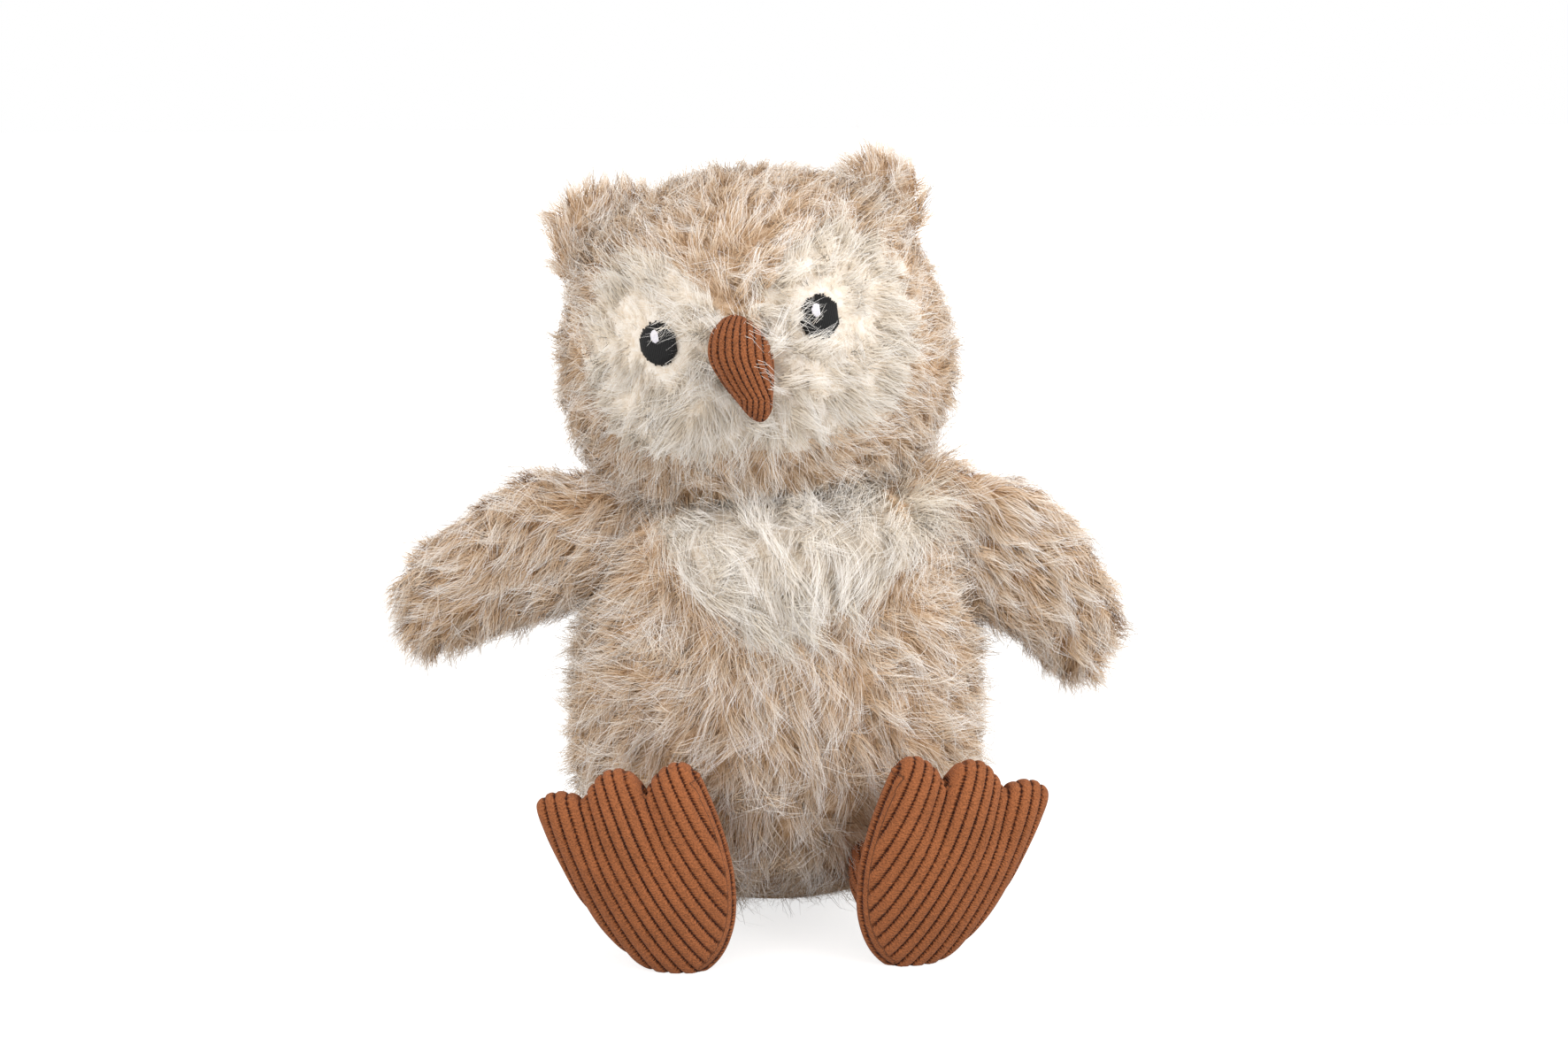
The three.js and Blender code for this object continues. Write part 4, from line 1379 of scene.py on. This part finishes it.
    def build(self, shop: Workshop) -> None:
        """Build the stuffed core, the panels' pile and the eyes."""
        core = self.shape.form(-self.core_depth, *self.core_mesh)
        core.points = blend_forms(core, self.shape.form(-self.face_core_depth, *self.core_mesh),
                                  self.in_face(core.points))
        piece = shop.piece("head_cushion", core.moved(HEAD_PLACE),
                           [shop.ground[Cloth.TAN], shop.ground[Cloth.CREAM]])
        piece.data.polygons.foreach_set("material_index", self.in_face(face_centres(core)).astype(np.int32))
        hand_in(piece, "head", ("head_filling",))
        skin = self.skin()
        middles = HEAD_PLACE.local(face_centres(skin.form))
        x, y, z = middles.T
        tips = skin.tips(HEAD_PLACE)
        flat = tips[:, [0, 2]]
        front = tips[:, 1] < 0
        eyes = np.zeros(len(x), bool)
        faces = {}
        for side_name, side in SIDES:
            reach = np.hypot((x - self.eye_place(side)[0]) / (self.eye_width / 2 - 0.4),
                             (z - self.eye_place(side)[1]) / (self.eye_height / 2 - 0.4))
            eyes |= (y < 0) & (reach < 1)
            faces[side_name] = inside_outline(flat, self.face_outline(side)) & front
        strip = np.abs(tips[:, 0]) < self.crown_width / 2
        crown = np.where(y < self.back_seam, strip & (tips[:, 2] > self.crown_peak), strip)
        rest = ~faces["left"] & ~faces["right"] & (z > 3.0)
        plans = [("crown", Cloth.TAN, rest & crown, "crown_panel")]
        for side_name, side in SIDES:
            plans.append((f"face_{side_name}", Cloth.CREAM, faces[side_name] & ~eyes,
                          f"face_panel_{side_name}"))
            plans.append((f"cheek_{side_name}", Cloth.TAN, rest & ~crown & (x * side > 0),
                          f"cheek_panel_{side_name}"))
        for seed, (name, cloth, part, node) in enumerate(plans):
            Coat(name, "head", cloth, skin.only(part), (node,), 20 + seed,
                 1.4 if cloth is Cloth.CREAM else 1.0).build(shop.piles, shop.pile)
        for side_name, side in SIDES:
            self.build_eye(shop, side_name, side)

    def eye_place(self, side: int) -> tuple[float, float]:
        """Middle of an eye in local XZ: one is sewn a little lower than the other."""
        return side * self.eye_spacing / 2 + self.eye_aside, self.eye_up - (self.eye_dip if side < 0 else 0)

    def front_depth(self, x: float, z: float, grow: float) -> float:
        """How far forward the form's surface lies at a point of local XZ."""
        profile = spline_profile(self.shape.radius_shares, 400)
        up = (z + grow) / (self.shape.height + 2 * grow)
        out = np.interp(up, profile[:, 0], profile[:, 1]) * (self.shape.width / 2 + grow)
        flat = (self.shape.depth / 2 + grow) / (self.shape.width / 2 + grow)
        return -math.sqrt(max(out * out - x * x, 0)) * flat

    def build_eye(self, shop: Workshop, side_name: str, side: int) -> None:
        """Build one embroidered eye and its glint, domed over the face."""
        for name, width, height, thread, aside, up, depth, rise, yarn, slot in (
            ("eye", self.eye_width, self.eye_height, 0.36, 0.0, 0.0, 2.0, 2.0, shop.black, "black_thread"),
            ("eye_glint", 2.0, 2.9, 0.3, -0.5, 1.9, -0.2, 0.35, shop.white, "white_thread"),
        ):
            piece = shop.stitches.lay(f"{name}_{side_name}_stitching", width, height, thread,
                                      7 + side, yarn)
            points = vertex_rows(piece.data, "co").astype(float) / MM
            share = np.hypot(points[:, 0] / width * 2, points[:, 2] / height * 2)
            across, above = self.eye_place(side)
            points += (across + aside, 0, above + up)
            lie = np.array([self.front_depth(x, z, 0) for x, z in points[:, [0, 2]]])
            points[:, 1] += lie + depth - rise * np.sqrt(np.clip(1 - share ** 4, 0, 1))
            toy = (HEAD_PLACE.out(points) + TOY_SHIFT) * MM
            piece.data.vertices.foreach_set("co", toy.astype(np.float32).ravel())
            piece.data.update()
            hand_in(piece, "head", (f"{name}_{side_name}",))


@dataclass
class Ear:
    """An ear: two layers of pile cloth with no filling."""

    side_name: str
    side: int
    inward: float
    width: float = 23.0
    height: float = 23.5
    thickness: float = 5.0
    spacing: float = 70.0
    root_up: float = 56.0
    set_back: float = 1.0
    core_depth: float = 3.5
    root_depth: float = 2.6
    pile_length: float = 8.0
    shares: Shares = (
        (-0.42, 0), (-0.46, 0.4), (-0.4, 0.8), (-0.24, 0.93), (0.06, 1), (0.2, 0.93),
        (0.42, 0.76), (0.5, 0.66), (0.5, 0.36), (0.42, 0),
    )

    def build(self, shop: Workshop) -> None:
        """Build the cloth core and both layers' pile."""
        line = smooth_outline(self.shares, self.width, self.height, 60)
        line[:, 0] -= self.inward * smoothstep(-line[:, 0], -4.0, 9.0)
        line[:, 1] *= 1 + 0.006 * self.inward
        line *= (self.side, 1)
        pillow = Pillow(line, (0.0, 0.45 * self.height), self.thickness / 2, self.thickness / 2, 0.06)
        place = Place((self.side * self.spacing / 2, self.set_back, self.root_up)).inside(HEAD_PLACE)
        core = pillow.form(-self.core_depth, 8)
        piece = shop.piece(f"ear_{self.side_name}_cloth", core.moved(place), [shop.ground[Cloth.TAN]])
        hand_in(piece, "head", ())
        skin_form = pillow.form(-self.root_depth, 14)
        x, y, z = skin_form.points.T
        comb = unit(np.stack([x - self.side * 1.0, 0 * x, z + 6.0], 1))
        skin = Skin(skin_form.moved(place), place.directions(comb), constant(x, self.pile_length),
                    constant(x, 0.55), constant(x, 0.5), constant(x, 0.02))
        shop.two_layers("ear", self.side_name, "head", skin, place, 40 + self.side)


@dataclass
class Wing:
    """A flat stuffed wing of pile cloth, sewn on at the shoulder."""

    side_name: str
    side: int
    droop: float
    bow: float
    longer: float
    length: float = 56.0
    width: float = 37.0
    thickness: float = 20.0
    root_inset: float = 9.0
    hair_inset: float = 15.0
    core_depth: float = 4.2
    root_depth: float = 3.7
    pile_length: float = 10.0
    shoulder: tuple[float, float, float] = (41.0, -5.0, 94.5)
    shares: Shares = (
        (0, 0.44), (0.12, 0.53), (0.3, 0.55), (0.5, 0.51), (0.68, 0.44), (0.85, 0.31),
        (0.95, 0.16), (0.985, 0.02), (0.97, -0.08), (1, -0.2), (0.97, -0.33), (0.82, -0.42),
        (0.62, -0.45), (0.4, -0.46), (0.2, -0.42), (0, -0.34),
    )

    def pillow(self, inset: float) -> Pillow:
        """The stuffed wing, bowed up a little, with its root this far inside the body."""
        line = smooth_outline(self.shares, self.length + self.longer + inset, self.width, 96)
        line[:, 0] -= inset
        line[:, 1] += self.bow * np.sin(np.pi * np.clip(line[:, 0] / self.length, 0, 1))
        line[:, 1] *= 1 - 0.3 * (1 - smoothstep(line[:, 0], -10, 12)) * (line[:, 1] > 0)
        return Pillow(line * (self.side, 1), (self.side * 0.5 * self.length, 0.02 * self.width),
                      self.thickness / 2, self.thickness / 2, 0.1)

    def build(self, shop: Workshop) -> None:
        """Build the stuffed core and both faces' pile."""
        x0, y0, z0 = self.shoulder
        place = Place((self.side * x0, y0, z0), turn(y=self.side * self.droop))
        core = self.pillow(self.root_inset + 4.0).form(-self.core_depth, 12)
        body = f"wing_{self.side_name}"
        piece = shop.piece(f"{body}_cushion", core.moved(place), [shop.ground[Cloth.TAN]])
        hand_in(piece, body, (f"wing_filling_{self.side_name}",))
        skin_form = self.pillow(self.hair_inset).form(-self.root_depth, 26)
        x, y, z = skin_form.points.T
        out = self.side * x
        comb = np.stack([self.side * np.ones(len(x)), 0 * x, -0.25 + 0.012 * z - 0.004 * out], 1)
        root = (1 - smoothstep(out, -4.0, 14.0)) * smoothstep(z, 4.0, 14.0)
        comb[:, 2] += 0.3 * root
        skin = Skin(skin_form.moved(place), place.directions(comb), constant(x, self.pile_length),
                    0.42 - 0.1 * root, constant(x, 0.6), 0.022 * (1 - root))
        shop.two_layers("wing", self.side_name, body, skin, place, 60 + self.side)


def pillow_reach(line: Array, centre: tuple[float, float], x: Array, z: Array) -> Array:
    """How far an outline lies from its centre in the direction of each point.

    Args:
        line: Rows of (x, z) round the outline.
        centre: The middle of the outline.
        x: Across, for each point.
        z: Up, for each point.

    Returns:
        Distances in millimetres.
    """
    away = line - np.array(centre)
    angles = np.arctan2(away[:, 1], away[:, 0])
    order = np.argsort(angles)
    return np.interp(np.arctan2(z - centre[1], x - centre[0]), angles[order],
                     np.linalg.norm(away, axis=1)[order], period=2 * math.pi)


# How much flatter than round a rib's crest is
RIB_SQUARENESS = 3.5


def raise_ribs(piece: bpy.types.Object, across: Array, along: Array, relief: Array) -> None:
    """Raise corduroy ribs along a mesh's normals and keep their pattern as an attribute.

    Args:
        piece: Object whose mesh is raised.
        across: Place across the ribs, one whole number to each groove.
        along: Place along the ribs in millimetres.
        relief: Height of a rib over its grooves in millimetres.
    """
    mesh = piece.data
    share = across - np.floor(across)
    height = (1 - np.abs(2 * share - 1) ** RIB_SQUARENESS) * relief * MM
    moved = vertex_rows(mesh, "co") + vertex_rows(mesh, "normal") * height[:, None]
    moved[:, 2] = np.maximum(moved[:, 2], 0.0)
    mesh.vertices.foreach_set("co", moved.astype(np.float32).ravel())
    layer = mesh.attributes.new("cord", "FLOAT_VECTOR", "POINT")
    layer.data.foreach_set("vector", np.stack([across, along, 0 * along], 1).astype(np.float32).ravel())
    mesh.update()


@dataclass
class Beak:
    """The stuffed corduroy beak, a hook that leans over to one side."""

    width: float = 15.0
    length: float = 23.9
    front_rise: float = 6.2
    back_rise: float = 5.2
    top: tuple[float, float, float] = (-0.3, -39.5, 48.8)
    lean: float = -15.0
    tip: float = 8.5
    rib_pitch: float = 1.65
    relief: float = 0.5
    shares: Shares = (
        (-0.07, 0), (0.14, -0.03), (0.35, -0.14), (0.53, -0.32), (0.575, -0.53), (0.555, -0.75),
        (0.52, -0.92), (0.42, -1), (0.29, -0.985), (0.04, -0.82), (-0.24, -0.61),
        (-0.42, -0.37), (-0.32, -0.11),
    )

    def build(self, shop: Workshop) -> None:
        """Build the ribbed beak as one stuffed piece."""
        line = smooth_outline(self.shares, self.width, self.length, 220)
        pillow = Pillow(line, (0.08 * self.width, -0.45 * self.length), self.front_rise, self.back_rise, 0.05)
        local = pillow.form(-self.relief * 0.7, 44)
        place = Place(self.top, turn(x=self.lean) @ turn(y=self.tip)).inside(HEAD_PLACE)
        piece = shop.piece("beak_corduroy", local.moved(place), [shop.fine_corduroy])
        x, y, z = local.points.T
        # The ribs follow the bulging edge and close up a little toward the tip
        bulge = [line[np.abs(line[:, 1] - v) < 0.6][:, 0] for v in z]
        low = np.array([edge.min(initial=0) for edge in bulge])
        high = np.array([edge.max(initial=0) for edge in bulge])
        share = (x - low) / np.maximum(high - low, 1.0)
        across = 0.5 * (x - low) / self.rib_pitch + 0.5 * share * self.width / self.rib_pitch
        fade = smoothstep(1 - np.abs(2 * share - 1), -0.02, 0.08)
        raise_ribs(piece, across + 0.3 + 0.5 * (y > 0), z, self.relief * fade)
        hand_in(piece, "head", ("beak_cover", "beak_underside", "beak_filling"))


# Where the foot on the +X side is sewn to its leg
ANKLE = (26.0, -38.5, 15.0)


@dataclass
class Leg:
    """A short corduroy leg stub that joins a foot to the body."""

    side_name: str
    side: int
    radius: float = 9.0
    length: float = 17.0
    slope: float = 26.0
    inward: float = 2.5
    relief: float = 0.4
    ribs: int = 18

    def build(self, shop: Workshop) -> None:
        """Build the ribbed stub with its rounded ankle."""
        count, bowl_rows, stem_rows = self.ribs * 10, 12, 14
        levels = [(self.radius * math.sin(a), -self.radius * math.cos(a))
                  for a in np.linspace(0.06, math.pi / 2, bowl_rows)]
        levels += [(self.radius, up) for up in np.linspace(0, self.length, stem_rows + 1)[1:]]
        angles = np.linspace(0, 2 * math.pi, count, endpoint=False)
        rows = len(levels)
        points = np.array([[r * math.cos(a), r * math.sin(a), z] for r, z in levels for a in angles])
        points = np.vstack([points, [[0, 0, -self.radius], [0, 0, self.length]]])
        x0, y0, z0 = ANKLE
        place = Place((self.side * (x0 - self.inward), y0, z0), turn(x=self.slope - 90))
        form = Form(points, lathe_faces(rows, count))
        piece = shop.piece(f"leg_{self.side_name}_corduroy", form.moved(place), [shop.corduroy])
        around = np.append(np.tile(angles, rows), [0, 0]) / (2 * math.pi) * self.ribs
        raise_ribs(piece, around, points[:, 2], constant(points, self.relief))
        hand_in(piece, "torso", (f"leg_{self.side_name}",))


@dataclass
class Foot:
    """A stuffed three-toed corduroy foot that stands on its heel."""

    side_name: str
    side: int
    width: float = 40.0
    length: float = 51.5
    sole_rise: float = 8.5
    instep_rise: float = 9.5
    set_forward: float = 14.0
    heel_drop: float = 16.0
    heel_outward: float = 4.4
    lean: float = 16.0
    turn_out: float = 8.0
    # Drawn finer than the about 3.0 mm that the reference shows
    rib_pitch: float = 2.4
    relief: float = 0.75
    notches: Shares = ((-0.16, 0.87), (0.22, 0.9))
    shares: Shares = (
        (-0.14, -0.02), (-0.28, 0.03), (-0.41, 0.16), (-0.49, 0.36), (-0.51, 0.56), (-0.49, 0.78),
        (-0.46, 0.89), (-0.38, 0.95), (-0.28, 0.94), (-0.2, 0.9), (-0.16, 0.87), (-0.12, 0.91),
        (-0.06, 0.98), (0.05, 0.995), (0.13, 0.96), (0.185, 0.925), (0.22, 0.9), (0.28, 0.93),
        (0.37, 0.96), (0.45, 0.95), (0.49, 0.92), (0.485, 0.83), (0.45, 0.64), (0.4, 0.45),
        (0.3, 0.25), (0.17, 0.09), (0.01, 0),
    )

    def build(self, shop: Workshop) -> None:
        """Build the ribbed foot as one stuffed piece."""
        line = smooth_outline(self.shares, self.width, self.length, 440)
        line = np.stack([self.side * (line[:, 0] + self.heel_outward), line[:, 1] - self.heel_drop], 1)
        centre = (self.side * (-0.02 * self.width + self.heel_outward),
                  0.55 * self.length - self.heel_drop)
        pillow = Pillow(line, centre, self.sole_rise, self.instep_rise, 3 / 40)
        local = pillow.form(-self.relief * 0.7, 52)
        x, y, z = local.points.T
        out, down = self.side * x, self.length - self.heel_drop - z
        # The cloth is drawn in below each notch, which leaves the toes round
        for across, up in self.notches:
            below = up * self.length - self.heel_drop - z
            crease = np.exp(-(((out - self.heel_outward - across * self.width) / 3.2) ** 2))
            y *= 1 - 0.42 * crease * smoothstep(below, -4, 1) * (1 - smoothstep(below, 0, 19))
        across, gusset = self.ribs(out, down, np.linalg.norm(
            (local.points[:, [0, 2]] - np.array(centre)), axis=1) / pillow_reach(line, centre, x, z))
        local.points[:, 1] = y - self.set_forward
        x0, y0, z0 = ANKLE
        place = Place((self.side * x0, y0, z0), turn(y=self.side * self.lean, z=self.side * self.turn_out))
        piece = shop.piece(f"foot_{self.side_name}_corduroy", local.moved(place), [shop.corduroy])
        # The instep's ribs don't meet the sole's at the seam between them
        raise_ribs(piece, across + 0.5 * (y > 0), down, self.relief * (1 - 0.35 * gusset))
        panels = ("foot_sole", "foot_instep", "foot_filling")
        hand_in(piece, f"foot_{self.side_name}", [f"{panel}_{self.side_name}" for panel in panels])

    def ribs(self, out: Array, down: Array, share: Array) -> tuple[Array, Array]:
        """Place across the ribs, which bend toward the inner seam as they run down.

        Args:
            out: Distance toward the outer side in millimetres.
            down: Distance below the toe tips in millimetres.
            share: Place from the middle, 0, to the outline, 1.

        Returns:
            Place across, and 1 on the strip of cloth that shows beyond the inner seam.
        """
        bend = 0.09 * down + 0.0036 * np.clip(down - 12, 0, None) ** 2
        pitch = self.rib_pitch * (1 + 0.0045 * down)
        across = (out - 12 + bend) / pitch
        inner = (share > 0.9) & (out < 0.5 - 0.1 * down + 0.12 * np.clip(down - 25, 0, None)) & (down > 7)
        return np.where(inner, (1 - share) * 11.0 + 0.5, across), inner.astype(float)


# Whether a ray comes from the camera, a mirror or glass
SEEN_RAYS = (
    ("ray", "ShaderNodeLightPath"),
    ("some", "MAXIMUM", "@ray:Is Camera Ray", "@ray:Is Glossy Ray"),
    ("seen", "MAXIMUM", "@some", "@ray:Is Transmission Ray"),
)


@dataclass
class Studio:
    """A plain pale floor, soft light and the camera at the photograph's angle."""

    target: tuple[float, float, float] = (0.0, -10.0, 95.0)
    azimuth: float = -5.0
    elevation: float = 12.0
    distance: float = 650.0
    lens: float = 62.0
    shift: tuple[float, float] = (0.0026, 0.0033)
    film_width: float = 36.0
    floor_size: float = 6.0
    lamp_aim: tuple[float, float, float] = (0.0, 0.0, 0.1)
    lamps: tuple[tuple, ...] = (
        ("key", (1.15, -0.8, 0.72), 1.1, 15.5), ("fill", (-1.15, -0.8, 0.72), 1.2, 10.0),
        ("back", (0.2, 1.1, 0.9), 1.2, 3.5),
    )

    def build(self) -> None:
        """Make the camera, the floor and the lamps."""
        a, e = math.radians(self.azimuth), math.radians(self.elevation)
        back = Vector((math.sin(a) * math.cos(e), -math.cos(a) * math.cos(e), math.sin(e)))
        aim = (Vector(self.target) + Vector(TOY_SHIFT)) * MM
        data = bpy.data.cameras.new("camera")
        camera = put("camera", data)
        camera.location = aim + back * self.distance * MM
        self.face(camera, -back)
        data.lens, data.sensor_width = self.lens, self.film_width
        data.shift_x, data.shift_y = self.shift
        data.clip_start, data.clip_end = 0.01, 50.0
        bpy.context.scene.camera = camera
        self.build_floor()
        for lamp in self.lamps:
            self.lamp(*lamp)
        world = bpy.data.worlds.new("studio")
        bpy.context.scene.world = world
        world.use_nodes = True
        tree = world.node_tree
        nodes = wire(tree, [
            *SEEN_RAYS, ("plain", "ShaderNodeBackground", {"Color": (1, 1, 1, 1), "Strength": 1.0}),
        ])
        ground = tree.nodes["Background"]
        feed(tree, ground, {"Color": linear("#fffaf5"), "Strength": 0.86})
        mixed = add(tree, "ShaderNodeMixShader", {
            0: nodes["seen"].outputs[0], 1: ground.outputs[0], 2: nodes["plain"].outputs[0],
        })
        tree.links.new(mixed.outputs[0], tree.nodes["World Output"].inputs["Surface"])
        bpy.context.scene.view_settings.view_transform = "Standard"

    def build_floor(self) -> None:
        """Make the wide pale floor, which keeps the owl's shadow."""
        mesh = bpy.data.meshes.new("floor")
        h = self.floor_size / 2
        mesh.from_pydata([(-h, -h, 0), (h, -h, 0), (h, h, 0), (-h, h, 0)], [], [(0, 1, 2, 3)])
        floor = put("floor", mesh)
        mesh.materials.append(make_material("white_paper_sweep", [
            ("place", "SPACE"),
            ("away", "V_LENGTH", "@place:Object"),
            ("far", "RANGE", "@away:Value", 0.25, 0.7, 0.74, 1.0),
            *SEEN_RAYS,
            ("lift", "MULTIPLY", "@seen", "@far"),
        ], {}, {"Base Color": linear("#b4b4b4"), "Roughness": 0.95, "Emission Color": (1, 1, 1, 1),
                "Emission Strength": "@lift"}))

    def lamp(self, name: str, place: tuple[float, float, float], size: float, power: float) -> None:
        """Hang one soft square lamp that faces the owl.

        Args:
            name: Name of the lamp.
            place: Where it hangs, in metres.
            size: Side of the square in metres.
            power: Watts.
        """
        data = bpy.data.lights.new(name, "AREA")
        data.shape, data.size, data.energy = "SQUARE", size, power
        lamp = put(name, data)
        lamp.location = place
        self.face(lamp, Vector(self.lamp_aim) - Vector(place))

    @staticmethod
    def face(thing: bpy.types.Object, way: Vector) -> None:
        """Turn a camera or a lamp to look along a direction."""
        thing.rotation_mode = "QUATERNION"
        thing.rotation_quaternion = way.to_track_quat("-Z", "Y")


def main() -> None:
    """Build the studio and every part of the owl in order."""
    logging.basicConfig(level=logging.INFO, format="%(name)s %(message)s")
    Studio().build()
    shop = Workshop()
    Torso().build(shop)
    Head().build(shop)
    for side_name, side in SIDES:
        Ear(side_name, side, 0.0 if side > 0 else 9.0).build(shop)
        Wing(side_name, side, *((38.0, 2.4, 0.0) if side > 0 else (20.0, 0.0, 2.0))).build(shop)
        Leg(side_name, side).build(shop)
        Foot(side_name, side).build(shop)
    Beak().build(shop)


if __name__ == "__main__":
    main()
